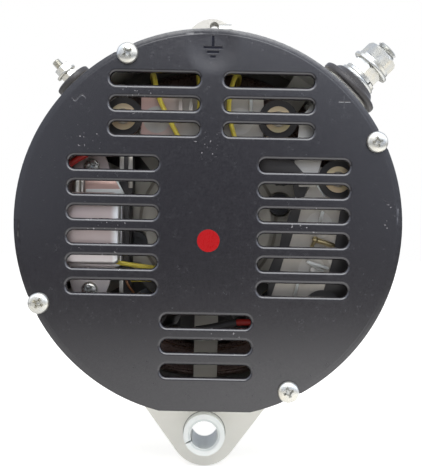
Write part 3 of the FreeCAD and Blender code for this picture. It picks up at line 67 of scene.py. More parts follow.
nodes = frame["nodes"]
scene = bpy.context.scene
print("nodes", len(nodes), "box", [tuple(round(v, 4) for v in corner) for corner in frame_box])

# %% [markdown]
# Most pieces sit about the shaft, so places are given from there: millimetres across, behind
# the cover's face and above the shaft. One helper turns such a place into the frame's metres,
# and the shaft's height comes from the joint that the frame already states.

# %% Places about the shaft
MM = 0.001
shaft_joint = next(j for j in frame["joints"] if j["name"] == "shaft_spin")
SHAFT_HEIGHT = shaft_joint["pos_m"][2]
COVER_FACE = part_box("rear_cover")[0].y


def place(x, depth, z):
    """A point in millimetres: across, behind the cover's face, above the shaft."""
    return Vector((x * MM, COVER_FACE + depth * MM, SHAFT_HEIGHT + z * MM))


print("shaft height", round(SHAFT_HEIGHT, 4), "cover face", round(COVER_FACE, 4))

# %% [markdown]
# The photograph looks squarely at the rear cover from about half a metre. The cover's edge
# stays a true circle, so the lens looks straight along the shaft, and the foot, which lies
# deeper, fixes the distance. The picture leans by about one degree, which the camera takes.

# %% Camera
VIEW_DISTANCE = 0.55
PICTURE_WIDTH, PICTURE_HEIGHT = 422, 475
COVER_CENTRE_PIXEL = (207.9, 222.6)
COVER_WIDTH = 0.172
COVER_WIDTH_PIXELS = 390.8
SENSOR = 36.0
PICTURE_LEAN = math.radians(1.1)

metres_per_pixel = COVER_WIDTH / COVER_WIDTH_PIXELS
camera_data = bpy.data.cameras.new("photo_camera")
camera_data.sensor_width = SENSOR
camera_data.sensor_fit = "AUTO"
camera_data.lens = VIEW_DISTANCE / metres_per_pixel * SENSOR / PICTURE_HEIGHT
camera_data.clip_end = 50
camera = bpy.data.objects.new("photo_camera", camera_data)
scene.collection.objects.link(camera)
off_x = (PICTURE_WIDTH / 2 - COVER_CENTRE_PIXEL[0]) * metres_per_pixel
off_z = (PICTURE_HEIGHT / 2 - COVER_CENTRE_PIXEL[1]) * metres_per_pixel
across = math.cos(PICTURE_LEAN) * off_x + math.sin(PICTURE_LEAN) * off_z
above = math.sin(PICTURE_LEAN) * off_x - math.cos(PICTURE_LEAN) * off_z
camera.location = (across, COVER_FACE - VIEW_DISTANCE, SHAFT_HEIGHT + above)
camera.rotation_mode = "XYZ"
camera.matrix_world = (Matrix.Translation(camera.location)
                       @ Matrix.Rotation(math.radians(90), 4, "X")
                       @ Matrix.Rotation(PICTURE_LEAN, 4, "Z"))
scene.camera = camera


def seen_at(pixel_x, pixel_y, depth):
    """The place, in millimetres about the shaft, that a pixel shows at this depth."""
    right = (pixel_x - PICTURE_WIDTH / 2) * metres_per_pixel
    up = (PICTURE_HEIGHT / 2 - pixel_y) * metres_per_pixel
    reach = (VIEW_DISTANCE + depth * MM) / VIEW_DISTANCE
    x = across + (math.cos(PICTURE_LEAN) * right - math.sin(PICTURE_LEAN) * up) * reach
    z = above + (math.sin(PICTURE_LEAN) * right + math.cos(PICTURE_LEAN) * up) * reach
    return x / MM, depth, z / MM


print("lens", round(camera_data.lens, 2), "at", tuple(round(v, 4) for v in camera.location))

# %% [markdown]
# Node trees for the room and for the finishes need a little arithmetic. An Amount is a number
# inside such a tree. Its sums and products add the Math nodes, so each formula reads as one.

# %% Arithmetic in node trees
TURN = 2 * math.pi


class Amount:
    """A number inside a node tree, read from one socket."""

    def __init__(self, tree, socket):
        self.tree = tree
        self.socket = socket

    def math(self, operation, *others, swapped=False):
        """One Math node over this amount and others, which may be plain numbers."""
        node = self.tree.nodes.new("ShaderNodeMath")
        node.operation = operation
        values = (self, *others)
        for entry, value in zip(node.inputs, values[::-1] if swapped else values):
            if isinstance(value, Amount):
                self.tree.links.new(value.socket, entry)
            else:
                entry.default_value = value
        return Amount(self.tree, node.outputs[0])

    def __add__(self, other):
        return self.math("ADD", other)

    def __sub__(self, other):
        return self.math("SUBTRACT", other)

    def __rsub__(self, other):
        return self.math("SUBTRACT", other, swapped=True)

    def __mul__(self, other):
        return self.math("MULTIPLY", other)

    def __truediv__(self, other):
        return self.math("DIVIDE", other)

    def __pow__(self, other):
        return self.math("POWER", other)

    def __abs__(self):
        return self.math("ABSOLUTE")


def step_between(value, low, high):
    """Nought below low, one above high, smooth between."""
    node = value.tree.nodes.new("ShaderNodeMapRange")
    node.interpolation_type = "SMOOTHSTEP"
    node.inputs["From Min"].default_value = low
    node.inputs["From Max"].default_value = high
    value.tree.links.new(value.socket, node.inputs["Value"])
    return Amount(value.tree, node.outputs[0])


def between(value, low, high, soft):
    """One between low and high, fading over a soft edge."""
    return step_between(value, low - soft, low + soft) - step_between(value, high - soft, high + soft)


def wave(value, length):
    """A sine that comes round again after this length."""
    return (value * (TURN / length)).math("SINE")


def parts_of(tree, output="Object"):
    """The three numbers of one of the coordinate outputs."""
    where = tree.nodes.new("ShaderNodeTexCoord")
    parts = tree.nodes.new("ShaderNodeSeparateXYZ")
    tree.links.new(where.outputs[output], parts.inputs[0])
    return [Amount(tree, socket) for socket in parts.outputs]


def colour_mix(tree, share, first, second):
    """A colour that goes from the first to the second as the share grows."""
    mix = tree.nodes.new("ShaderNodeMix")
    mix.data_type = "RGBA"
    mix.inputs[6].default_value = (*first, 1)
    mix.inputs[7].default_value = (*second, 1)
    tree.links.new(share.socket, mix.inputs[0])
    return mix.outputs[2]


def linked(name, data):
    """A new object of this data, in the scene."""
    item = bpy.data.objects.new(name, data)
    scene.collection.objects.link(item)
    return item


print("node helpers ready")

# %% [markdown]
# A product photograph has a wide soft lamp overhead and pale walls all round. Each lamp is a
# large area light. The world is white where the camera sees it. A reflection finds a room
# instead: dim behind the camera, two bright bands overhead, middling sides, and a white table
# that ends half a metre in front. That draws the sheen along the cover's top and bottom edge.

# %% Light, floor and background
scene.view_settings.view_transform = "Standard"
LIT_POINT = place(0, 40, 0)


def soft_lamp(name, location, size, power):
    """A square area light that faces the machine."""
    data = bpy.data.lights.new(name, "AREA")
    data.shape = "SQUARE"
    data.size = size
    data.energy = power
    lamp = linked(name, data)
    lamp.location = location
    lamp.rotation_euler = (LIT_POINT - Vector(location)).to_track_quat("-Z", "Y").to_euler()


soft_lamp("upper_softbox", (0.12, -0.9, 1.0), 0.95, 14.6)
soft_lamp("left_softbox", (-1.1, -0.35, 0.4), 0.8, 0.9)
soft_lamp("right_softbox", (1.1, -0.35, 0.3), 0.8, 1.1)
soft_lamp("overhead_softbox", (0.0, -0.1, 1.2), 0.7, 1.4)


def seen_and_reflected(tree):
    """Two masks: a camera or transmission ray arrives, a glossy ray arrives."""
    path = tree.nodes.new("ShaderNodeLightPath")
    camera_ray, glossy_ray, clear_ray = (
        Amount(tree, path.outputs[f"Is {kind} Ray"]) for kind in ("Camera", "Glossy", "Transmission"))
    return camera_ray.math("MAXIMUM", clear_ray), glossy_ray


# Levels of the room's parts. Its soft steps are given by the parts of a ray's own direction.
WORLD_FILL, ROOM_DIM = 0.63, 0.24
LOW_BAND, CORNER, SIDES, BEHIND = 1.2, 0.55, 0.62, 0.6
BRIGHTEST, BRIGHTEST_BEHIND = 2.4, 0.9
world = bpy.data.worlds.new("pale_room")
world.use_nodes = True
scene.world = world
tree = world.node_tree
tree.nodes.clear()
way_x, way_y, way_z = parts_of(tree, "Generated")
apart = abs(way_x)
steep = step_between(way_z, 0.45, 0.7)
from_right = step_between(way_x, -0.085, 0.0) * 0.82 + 0.18
from_left = 1.15 - step_between(way_x, -0.04, 0.05) * 0.75
low_band = (step_between(way_z, 0.11, 0.31) - steep) * from_right * LOW_BAND
corner = step_between(apart, 0.36, 0.5) * CORNER * step_between(way_z, 0.3, 0.45)
sides = step_between(apart, 0.06, 0.26) * SIDES + step_between(way_y, 0.15, 0.6) * BEHIND
room = low_band + steep * from_left + corner + sides + ROOM_DIM
limit = BRIGHTEST - step_between(way_y, -0.1, 0.1) * (BRIGHTEST - BRIGHTEST_BEHIND)
seen, reflected = seen_and_reflected(tree)
unseen = 1.0 - seen.math("MAXIMUM", reflected)
level = seen + reflected * room.math("MINIMUM", limit) + unseen * WORLD_FILL
shown = tree.nodes.new("ShaderNodeBackground")
tree.links.new(colour_mix(tree, reflected, (1, 1, 1), (0.9, 0.97, 1.12)), shown.inputs["Color"])
tree.links.new(level.socket, shown.inputs["Strength"])
tree.links.new(shown.outputs[0], tree.nodes.new("ShaderNodeOutputWorld").inputs[0])

FLOOR_HALF, FLOOR_GAP = 6.0, 0.0005
floor_mesh = bmesh.new()
bmesh.ops.create_grid(floor_mesh, x_segments=1, y_segments=1, size=FLOOR_HALF)
bmesh.ops.translate(floor_mesh, verts=floor_mesh.verts, vec=(0, 0, frame_box[0].z - FLOOR_GAP))
floor_data = bpy.data.meshes.new("floor")
floor_mesh.to_mesh(floor_data)
floor_mesh.free()
floor = linked("floor", floor_data)
floor_finish = bpy.data.materials.new("pale_floor")
floor_finish.use_nodes = True
floor_data.materials.append(floor_finish)
tree = floor_finish.node_tree
tree.nodes.clear()
seen, reflected = seen_and_reflected(tree)
floor_x, floor_y = parts_of(tree)[:2]
reach = (floor_x * floor_x + floor_y * floor_y).math("SQRT")
table = 1.0 - step_between(reach, 0.3, 0.75)
floor_side = step_between(floor_x, -0.12, 0.1) * 0.72 + 0.28
glow = tree.nodes.new("ShaderNodeEmission")
strength = seen * 0.6 + reflected * ((table * 0.7 + 0.15) * floor_side)
pale, dark = (tree.nodes.new("ShaderNodeBsdfDiffuse") for _ in range(2))
pale.inputs["Color"].default_value = (0.85, 0.85, 0.85, 1)
dark.inputs["Color"].default_value = (0.1, 0.1, 0.1, 1)
fading = tree.nodes.new("ShaderNodeMixShader")
both = tree.nodes.new("ShaderNodeAddShader")
shown = tree.nodes.new("ShaderNodeOutputMaterial")
for source, entry in ((strength.socket, glow.inputs["Strength"]),
                      ((reflected * (1.0 - table)).socket, fading.inputs[0]),
                      (pale.outputs[0], fading.inputs[1]), (dark.outputs[0], fading.inputs[2]),
                      (fading.outputs[0], both.inputs[0]), (glow.outputs[0], both.inputs[1]),
                      (both.outputs[0], shown.inputs[0])):
    tree.links.new(source, entry)

# %% [markdown]
# Every real surface varies: a casting is grainy, turned steel has rings, paint has a faint
# orange peel. One helper builds that variety from two noises, a broad one that drifts the
# colour and the gloss, and a fine one that drives a slight bump. Both read Object
# coordinates, so the grain stays on the piece from every side.

# %% A finish with grain
def speckle(tree, size_mm, detail=2.0, roughness=0.5):
    """A noise of the given grain, from nought to one."""
    where = tree.nodes.new("ShaderNodeTexCoord")
    noise = tree.nodes.new("ShaderNodeTexNoise")
    noise.inputs["Scale"].default_value = 1 / (size_mm * MM)
    noise.inputs["Detail"].default_value = detail
    noise.inputs["Roughness"].default_value = roughness
    tree.links.new(where.outputs["Object"], noise.inputs["Vector"])
    return Amount(tree, noise.outputs["Fac"])


def emboss(material, height, depth_mm, strength=1.0):
    """Adds a height pattern over the bump that a finish already has."""
    tree = material.node_tree
    normal = tree.nodes["Principled BSDF"].inputs["Normal"]
    bump = tree.nodes.new("ShaderNodeBump")
    bump.inputs["Distance"].default_value = depth_mm * MM
    bump.inputs["Strength"].default_value = strength
    tree.links.new(height.socket, bump.inputs["Height"])
    if normal.links:
        tree.links.new(normal.links[0].from_socket, bump.inputs["Normal"])
    tree.links.new(bump.outputs[0], normal)


def finish(name, colour, drift, metallic, gloss, grain_mm, height_mm, broad_mm=18.0, specular=0.5):
    """colour drifts to drift; gloss is the lowest and highest roughness."""
    material = bpy.data.materials.new(name)
    material.use_nodes = True
    tree = material.node_tree
    shader = tree.nodes["Principled BSDF"]
    shader.inputs["Metallic"].default_value = metallic
    shader.inputs["Specular IOR Level"].default_value = specular
    drifting = colour_mix(tree, speckle(tree, broad_mm, 5), colour, drift)
    tree.links.new(drifting, shader.inputs["Base Color"])
    fine = speckle(tree, grain_mm, 3)
    spread = tree.nodes.new("ShaderNodeMapRange")
    for entry, value in (("From Min", 0.3), ("From Max", 0.7), ("To Min", gloss[0]), ("To Max", gloss[1])):
        spread.inputs[entry].default_value = value
    tree.links.new(fine.socket, spread.inputs["Value"])
    tree.links.new(spread.outputs[0], shader.inputs["Roughness"])
    emboss(material, fine, height_mm, 0.6)
    return material


print("finish helper ready")

# %% [markdown]
# The finishes of this machine: satin black on the pressed cover, pale zinc on fasteners, bare
# castings, dark varnished copper on the windings, and sleeves on the leads. The winding's copper
# and the rectifier plates are painted darker than their varnish and bare metal, partly as painted
# shade for the deep shade behind the cover. Each row gives the finish's name, its colour and the one
# it drifts to, how metallic it is, its roughness from and to, the grain's size and height, the drift's
# size in millimetres, and at times the gloss.

# %% The finishes
FINISHES = {
    "black_cover": ("satin_black_paint", (0.0075, 0.0065, 0.009), (0.0105, 0.009, 0.012),
                    0.0, (0.18, 0.26), 0.9, 0.006, 30, 0.8),
    "zinc": ("pale_zinc_plate", (0.4, 0.45, 0.52), (0.66, 0.6, 0.46), 0.8, (0.25, 0.33), 1.2, 0.0008, 5),
    "cast_aluminium": ("cast_aluminium", (0.76, 0.75, 0.71), (0.86, 0.85, 0.8),
                       0.08, (0.6, 0.75), 0.7, 0.05, 16, 0.3),
    "bush_steel": ("turned_steel", (0.79, 0.82, 0.815), (0.87, 0.9, 0.89),
                   0.2, (0.3, 0.45), 0.5, 0.008, 8),
    "laminations": ("stacked_sheet_steel", (0.2, 0.195, 0.19), (0.3, 0.29, 0.27),
                    0.8, (0.42, 0.6), 0.5, 0.04, 12),
    "pole_iron": ("forged_iron", (0.11, 0.107, 0.108), (0.16, 0.155, 0.15),
                  0.25, (0.62, 0.8), 0.9, 0.04, 10),
    # Painted shade: darker than the varnished copper alone, for the shade deep in the drum.
    "winding": ("varnished_copper", (0.1, 0.065, 0.055), (0.15, 0.09, 0.075),
                0.3, (0.22, 0.4), 0.9, 0.08, 7),
    "coil_wrap": ("varnished_tape", (0.26, 0.1, 0.04), (0.36, 0.17, 0.08), 0.2, (0.3, 0.5), 1.1, 0.06, 7),
    "bearing_steel": ("ground_steel", (0.66, 0.66, 0.67), (0.74, 0.74, 0.75),
                      1.0, (0.12, 0.22), 0.5, 0.004, 12),
    "shaft_steel": ("shaft_steel", (0.52, 0.52, 0.53), (0.62, 0.62, 0.62),
                    1.0, (0.22, 0.36), 0.4, 0.01, 9),
    # Painted shade: darker than bare aluminium, for the shade behind the cover.
    "sink_plate": ("plate_aluminium", (0.36, 0.33, 0.29), (0.54, 0.5, 0.44),
                   0.6, (0.3, 0.46), 0.6, 0.012, 8),
    "black_insulator": ("moulded_black", (0.03, 0.028, 0.029), (0.046, 0.042, 0.042),
                        0.0, (0.36, 0.5), 0.6, 0.015, 9, 0.4),
    "tan_washer": ("gold_green_passivate", (0.5, 0.5, 0.27), (0.68, 0.44, 0.32),
                   0.7, (0.3, 0.42), 0.5, 0.006, 7),
    "dark_bolt": ("oiled_black_steel", (0.05, 0.05, 0.055), (0.09, 0.09, 0.09),
                  0.8, (0.34, 0.5), 0.6, 0.02, 4),
    "diode": ("dull_nickel_plate", (0.46, 0.43, 0.39), (0.58, 0.55, 0.5),
              0.75, (0.3, 0.42), 0.9, 0.005, 5),
    "regulator": ("pressed_aluminium", (0.5, 0.4, 0.385), (0.56, 0.48, 0.465),
                  0.6, (0.3, 0.42), 0.6, 0.012, 9),
    "copper_strap": ("tinned_copper", (0.58, 0.54, 0.47), (0.68, 0.65, 0.6),
                     0.95, (0.28, 0.44), 0.5, 0.01, 5),
    "yellow_lead": ("yellow_sleeve", (0.84, 0.66, 0.07), (0.9, 0.76, 0.12),
                    0.0, (0.34, 0.48), 0.8, 0.03, 5),
    "red_lead": ("red_sleeve", (0.42, 0.015, 0.012), (0.52, 0.03, 0.02),
                 0.0, (0.34, 0.48), 0.8, 0.03, 5),
    "fan_sheet": ("black_fan_paint", (0.016, 0.016, 0.018), (0.03, 0.03, 0.032),
                  0.0, (0.38, 0.52), 0.9, 0.02, 14),
    "pulley_iron": ("turned_grey_iron", (0.14, 0.14, 0.145), (0.22, 0.22, 0.22),
                    0.85, (0.32, 0.5), 0.6, 0.02, 11),
    "retaining_ring": ("brazed_ring", (0.5, 0.4, 0.2), (0.6, 0.5, 0.28), 0.95, (0.3, 0.45), 0.5, 0.01, 6),
}
finishes = {slot_name: finish(*row) for slot_name, row in FINISHES.items()}

for part in frame["record"]["subparts"]:
    for holder in nodes[part["node"]].material_slots:
        holder.material = finishes[part["material_slot"]]
print("finishes", len(finishes))

# %% [markdown]
# Some finishes carry a pattern of their own: the stator's stacked sheets, rings left by a lathe,
# a thread too fine to model, or marks stamped in the cover. A stator's sheets show as fine uneven
# lines that follow one coordinate only, the distance along the shaft. A lathe's rings depend on
# that and on the distance from the shaft together, so one sine does for rims and end faces.

# %% Stacked sheets and rings left by the lathe
def shaft_distance(tree, above=0.0):
    """How far a point is from the shaft's axis, or from one that lies above it, in metres."""
    x, _, z = parts_of(tree)
    height = z - (SHAFT_HEIGHT + above)
    return (x * x + height * height).math("SQRT")


def repaint(material, mask, colour, socket="Base Color"):
    """Where the mask is one, the colour or number takes over."""
    tree = material.node_tree
    target = tree.nodes["Principled BSDF"].inputs[socket]
    mix = tree.nodes.new("ShaderNodeMix")
    if socket == "Base Color":
        mix.data_type = "RGBA"
        ends, out, value = (6, 7), 2, (*colour, 1)
    else:
        ends, out, value = (2, 3), 0, colour
    if target.links:
        tree.links.new(target.links[0].from_socket, mix.inputs[ends[0]])
    else:
        mix.inputs[ends[0]].default_value = target.default_value
    mix.inputs[ends[1]].default_value = value
    tree.links.new(mask.socket, mix.inputs[0])
    tree.links.new(mix.outputs[out], target)


SHEET = 0.9 * MM
tree = finishes["laminations"].node_tree
noise = tree.nodes.new("ShaderNodeTexNoise")
noise.noise_dimensions = "1D"
noise.inputs["Scale"].default_value = 1 / SHEET
noise.inputs["Detail"].default_value = 3
tree.links.new(parts_of(tree)[1].socket, noise.inputs["W"])
sheets = Amount(tree, noise.outputs["Fac"])
emboss(finishes["laminations"], sheets, 0.25)
repaint(finishes["laminations"], step_between(sheets, 0.56, 0.7), (0.09, 0.075, 0.06))

LATHE_PITCH = 0.8 * MM
for slot_name in ("pulley_iron", "shaft_steel"):
    tree = finishes[slot_name].node_tree
    emboss(finishes[slot_name], wave(parts_of(tree)[1] + shaft_distance(tree), LATHE_PITCH), 0.012, 0.6)
print("sheets on the stator, lathe rings on pulley and shaft")

# %% [markdown]
# More patterns follow the shaft. Painted shade darkens the two ring joints of the bracket's hub,
# the casting inside the drum and above the cover's top, the ring round the foot's bush and its
# chamfer. The winding's ends are bundles of wire that run round the stator. The shaft's nose
# carries a metric thread, a deep ridge for each turn, with painted shade in its valleys. The left
# plates get a painted reflected pink tint, and the can a painted highlight on its right edge and
# lower part, with painted shade on its folded side.

# %% Hub joints, wire bundles and the shaft's thread
PIVOT_ABOVE = -99 * MM
casting = finishes["cast_aluminium"]
tree = casting.node_tree
_, along, z = parts_of(tree)
reach = shaft_distance(tree)
# Painted shade: the hub's two ring joints are painted dark, as they lie in shade.
joints = between(reach, 31.1 * MM, 32.5 * MM, 0.0002)
joints = joints.math("MAXIMUM", between(reach, 25.0 * MM, 25.7 * MM, 0.0002))
hub_depth = between(along, COVER_FACE + 33 * MM, COVER_FACE + 46 * MM, 0.001)
repaint(casting, joints * hub_depth, (0.06, 0.05, 0.04))
# Painted shade: the casting inside the drum, behind the cover, is painted darker.
drum_depth = between(along, COVER_FACE, COVER_FACE + 60 * MM, 0.001)
inside = (1.0 - step_between(reach, 70 * MM, 84 * MM)) * drum_depth
repaint(casting, inside * 0.7, (0.42, 0.39, 0.34))
# Painted shade: the casting above the cover's top, the ear with it, is painted darker to tone down its light.
painted_shade_top = step_between(z, SHAFT_HEIGHT + 84 * MM, SHAFT_HEIGHT + 88 * MM)
repaint(casting, painted_shade_top * 0.5, (0.42, 0.41, 0.39))
# Painted shadow: a dark ring on the casting round the foot's bush, the shadow of the gap between them.
seat_shadow = between(shaft_distance(tree, PIVOT_ABOVE), 9.6 * MM, 10.1 * MM, 0.00015)
repaint(casting, seat_shadow * 0.7, (0.1, 0.1, 0.1))

bush = finishes["bush_steel"]
from_pivot = shaft_distance(bush.node_tree, PIVOT_ABOVE)
emboss(bush, step_between(from_pivot, 6.5 * MM, 7.7 * MM), 0.5)
# Painted shade: the bush's chamfer ring is painted darker.
repaint(bush, between(from_pivot, 6.6 * MM, 7.5 * MM, 0.0002) * 0.5, (0.55, 0.6, 0.6))

WIRE = 1.5 * MM
copper = finishes["winding"]
tree = copper.node_tree
wires = wave(parts_of(tree)[1], WIRE) * wave(shaft_distance(tree), WIRE)
emboss(copper, wires + speckle(tree, 4) * 1.6, 0.35)
repaint(copper, step_between(wires, 0.1, 0.8), (0.15, 0.075, 0.045))

THREAD_START, HALF_PITCH = COVER_FACE + 171 * MM, 0.75 * MM
steel = finishes["shaft_steel"]
along = parts_of(steel.node_tree)[1]
nose = step_between(along, THREAD_START, THREAD_START + 0.0005)
ridge = along.math("PINGPONG", HALF_PITCH) / HALF_PITCH * nose
emboss(steel, ridge, 0.8)
# Painted shade: the thread's valleys are painted darker.
repaint(steel, (nose - ridge) * 0.7, (0.16, 0.15, 0.14))

# Painted reflection: the plates on the left side get a pink tint, the colour reflected from what stands by them.
plate = finishes["sink_plate"]
painted_tint_left = 1.0 - step_between(parts_of(plate.node_tree)[0], -0.03, -0.008)
repaint(plate, painted_tint_left * 0.8, (0.66, 0.42, 0.37))

can_sheet = finishes["regulator"]
x, _, z = parts_of(can_sheet.node_tree)
# Painted highlight along the can's right edge and its lower part; painted shade on the folded side beyond it.
painted_highlight_band = step_between(x, -43.8 * MM, -40.8 * MM)
painted_light_low = 1.0 - step_between(z, SHAFT_HEIGHT - 17 * MM, SHAFT_HEIGHT - 10 * MM)
repaint(can_sheet, painted_highlight_band.math("MAXIMUM", painted_light_low * 0.4), (0.86, 0.86, 0.86))
repaint(can_sheet, step_between(x, -39.5 * MM, -39.1 * MM), (0.16, 0.15, 0.15))
print("hub joints, wires and thread drawn")

# %% [markdown]
# The cover is the face of the picture. Its black paint is satin, so it shows the sheet's own
# shape: a slight dish towards the rim, a soft dent pressed round the upper mark, and marks cut
# beside the terminals. All of these are heights over the sheet, and none needs more mesh. The
# earth sign's strokes are also painted dark and metallic, a painted shade in the pressed strokes.
# The marks are plain ones: the earth sign above, a plus and a wave beside the two terminals.

# %% Marks pressed into the cover
def bar(axes, centre, half_wide, half_tall):
    """Distance outside a rectangle on the cover's face, in metres."""
    x, _, z = axes
    return (abs(x - centre.x) - half_wide).math("MAXIMUM", abs(z - centre.z) - half_tall)


def stroke_union(strokes):
    """The nearest of several strokes."""
    nearest = strokes[0]
    for stroke in strokes[1:]:
        nearest = nearest.math("MINIMUM", stroke)
    return nearest


def stroke_mask(strokes, soft_mm):
    """One inside the strokes, fading over a soft edge."""
    return 1.0 - step_between(stroke_union(strokes), -soft_mm * MM, soft_mm * MM)


EARTH_STROKE, FINE_STROKE, WAVE_LENGTH = 0.55 * MM, 0.22 * MM, 6.0 * MM
earth, plus, ripple = (place(*seen_at(*pixel, 0)) for pixel in ((213.0, 47.0), (344.6, 101.8), (78.8, 97.5)))
paint = finishes["black_cover"]
tree = paint.node_tree
axes = parts_of(tree)
stem = bar(axes, earth + Vector((0, 0, 2.6 * MM)), EARTH_STROKE, 2.4 * MM)
rungs = [bar(axes, earth - Vector((0, 0, drop * MM)), reach * MM, EARTH_STROKE)
         for drop, reach in ((0.2, 4.2), (2.2, 2.7), (4.2, 1.2))]
earth_mask = stroke_mask([stem] + rungs, 0.22)
arms = [bar(axes, plus, 2.6 * MM, FINE_STROKE), bar(axes, plus, FINE_STROKE, 2.6 * MM)]
ripple_line = wave(axes[0] - ripple.x, WAVE_LENGTH) * (1.3 * MM) + ripple.z
off_line = abs(axes[2] - ripple_line) - FINE_STROKE * 1.3
ripple_mark = bar(axes, ripple, WAVE_LENGTH / 2, 3 * MM).math("MAXIMUM", off_line)
fine_mask = stroke_mask(arms + [ripple_mark], 0.16)
print("marks at", [tuple(round(v, 4) for v in spot) for spot in (earth, plus, ripple)])

# %% [markdown]
# The dish of the sheet is a height that grows with the distance from the shaft. The dent round
# the earth sign is a soft well about two centimetres wide. Both tilt the surface by a degree or
# two, enough for satin paint to catch the lamp overhead. The frame's sheet has a round of three
# millimetres at its edge. A height that falls as a logarithm there makes it look nearly flat.

# %% Dish, dent and worn paint
emboss(paint, (shaft_distance(tree) / (COVER_WIDTH / 2)) ** 2.6, -1.5)
from_earth = ((axes[0] - earth.x) ** 2.0 + (axes[2] - earth.z) ** 2.0).math("SQRT")
emboss(paint, step_between(from_earth, 4 * MM, 13 * MM), 0.3)
emboss(paint, earth_mask, -0.4)
emboss(paint, fine_mask, -0.1)
# Painted shade: the earth sign's strokes are painted near black and fully metallic, so they reflect little.
repaint(paint, earth_mask, (0.02, 0.02, 0.026))
repaint(paint, earth_mask, 1.0, "Metallic")
repaint(paint, fine_mask * 0.14, (0.1, 0.095, 0.1))
WORN_PIXELS = ((88, 136, 5), (398, 218, 7), (206, 146, 6), (104, 225, 16), (100, 250, 14),
               (232, 338, 6), (305, 229, 9), (136, 98, 9), (306, 203, 7), (225, 335, 12))
patches = [bar(axes, place(*seen_at(pixel_x, pixel_y, 0)), width * MM / 2, width * MM / 2)
           for pixel_x, pixel_y, width in WORN_PIXELS]
worn_patch = 1.0 - step_between(stroke_union(patches), 0, 4 * MM)
chip_mask = worn_patch * step_between(speckle(tree, 1.3, 1, 0.4), 0.69, 0.73)
repaint(paint, chip_mask, (0.24, 0.23, 0.24))
smears = step_between(speckle(tree, 3.2, 4, 0.7), 0.5, 0.75) * 0.3
repaint(paint, smears, 0.4, "Roughness")
EDGE_ROUND, ROUND_STARTS, FLAT_STARTS = 3.0 * MM, 83.0 * MM, 80.6 * MM
past_round = shaft_distance(tree) - ROUND_STARTS
below_flat = (SHAFT_HEIGHT - FLAT_STARTS) - axes[2]
share = past_round.math("MAXIMUM", below_flat) / EDGE_ROUND
share = share.math("MAXIMUM", 0.0).math("MINIMUM", 0.96)
fall = (1.0 - share ** 2.0).math("LOGARITHM", math.e)
emboss(paint, fall * -0.5, EDGE_ROUND / MM, 0.85)
print("cover paint has", len(tree.nodes), "nodes")

# %% [markdown]
# From here on pieces are modelled. Each is drawn about its own axis in millimetres, then stood
# on its place in the frame. Short helpers spin a profile, shape it, stand it on the part, gather
# several, and hand the result over as a piece that rides on its body.

# %% Helpers for modelled pieces
def swept(profile, closed, steps, angle=TURN, climb=0.0, merge=False):
    """A profile of (radius, height) points turned about local Z, rising by climb at each step."""
    shape = bmesh.new()
    points = [shape.verts.new((radius, 0, height)) for radius, height in profile]
    pairs = list(zip(points, points[1:]))
    if closed:
        pairs.append((points[-1], points[0]))
    edges = [shape.edges.new(pair) for pair in pairs]
    bmesh.ops.spin(shape, geom=points + edges, cent=(0, 0, 0), axis=(0, 0, 1), dvec=(0, 0, climb),
                   angle=angle, steps=steps, use_merge=merge, use_normal_flip=False,
                   use_duplicate=False)
    return shape


def spun(profile, steps=48, closed=True):
    """A profile spun all the way round."""
    shape = swept(profile, closed, steps, merge=True)
    bmesh.ops.remove_doubles(shape, verts=shape.verts, dist=1e-5)
    return shape


def cone(segments, low_radius, high_radius, height, middle):
    """A closed cone or prism along local Z, its middle at this height."""
    shape = bmesh.new()
    bmesh.ops.create_cone(shape, cap_ends=True, segments=segments, radius1=low_radius,
                          radius2=high_radius, depth=height)
    bmesh.ops.translate(shape, verts=shape.verts, vec=(0, 0, middle))
    return shape


def turned(shape, degrees, axis="Z"):
    """Turns a shape about a local axis."""
    bmesh.ops.rotate(shape, verts=shape.verts, cent=(0, 0, 0),
                     matrix=Matrix.Rotation(math.radians(degrees), 3, axis))
    return shape


def bevelled(shape, edges, offset, segments=2):
    """Rounds these edges."""
    bmesh.ops.bevel(shape, geom=edges, affect="EDGES", offset=offset, segments=segments,
                    profile=0.5, material=-1)
    return shape


def stood(shape, at, axis, turn=0.0):
    """Stands a shape drawn about local Z at a place, pointing along axis, turned by degrees."""
    aim = Vector(axis).to_track_quat("Z", "Y").to_matrix().to_4x4()
    spin = Matrix.Rotation(math.radians(turn), 4, "Z")
    matrix = Matrix.Translation(place(*at)) @ aim @ spin @ Matrix.Scale(MM, 4)
    bmesh.ops.transform(shape, matrix=matrix, verts=shape.verts)
    return shape


def gathered(shapes):
    """One bmesh out of several."""
    whole = bmesh.new()
    for shape in shapes:
        holder = bpy.data.meshes.new("holder")
        shape.to_mesh(holder)
        shape.free()
        whole.from_mesh(holder)
        bpy.data.meshes.remove(holder)
    return whole


def meshed(name, shape):
    """A mesh out of a bmesh whose faces are turned outwards."""
    bmesh.ops.recalc_face_normals(shape, faces=shape.faces)
    mesh = bpy.data.meshes.new(name)
    shape.to_mesh(mesh)
    shape.free()
    return mesh


def hand_over(name, data, finish_used, stands_for=()):
    """A piece that rides on the housing and hides the frame's pieces that it stands for."""
    data.materials.append(finish_used)
    piece = linked(name, data)
    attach(piece, "housing")
    if stands_for:
        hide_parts(*stands_for)


def make_piece(name, shape, slot_name, stands_for=(), crease=32):
    """Closes a bmesh, smooths it and hands it over."""
    bmesh.ops.remove_doubles(shape, verts=shape.verts, dist=1e-7)
    mesh = meshed(name, shape)
    mesh.polygons.foreach_set("use_smooth", [True] * len(mesh.polygons))
    mesh.set_sharp_from_angle(angle=math.radians(crease))
    hand_over(name, mesh, finishes[slot_name], stands_for)
    print(name, len(mesh.polygons), "faces")


TOWARDS_CAMERA = (0, -1, 0)
print("modelling helpers ready")

# %% [markdown]
# A screw thread is one vee of metal carried along as it turns. Spin does exactly this: with a
# small shift at each step the profile climbs by one pitch a turn, and each turn's upper edge
# meets the next one's lower edge, so merging doubles closes the helix.

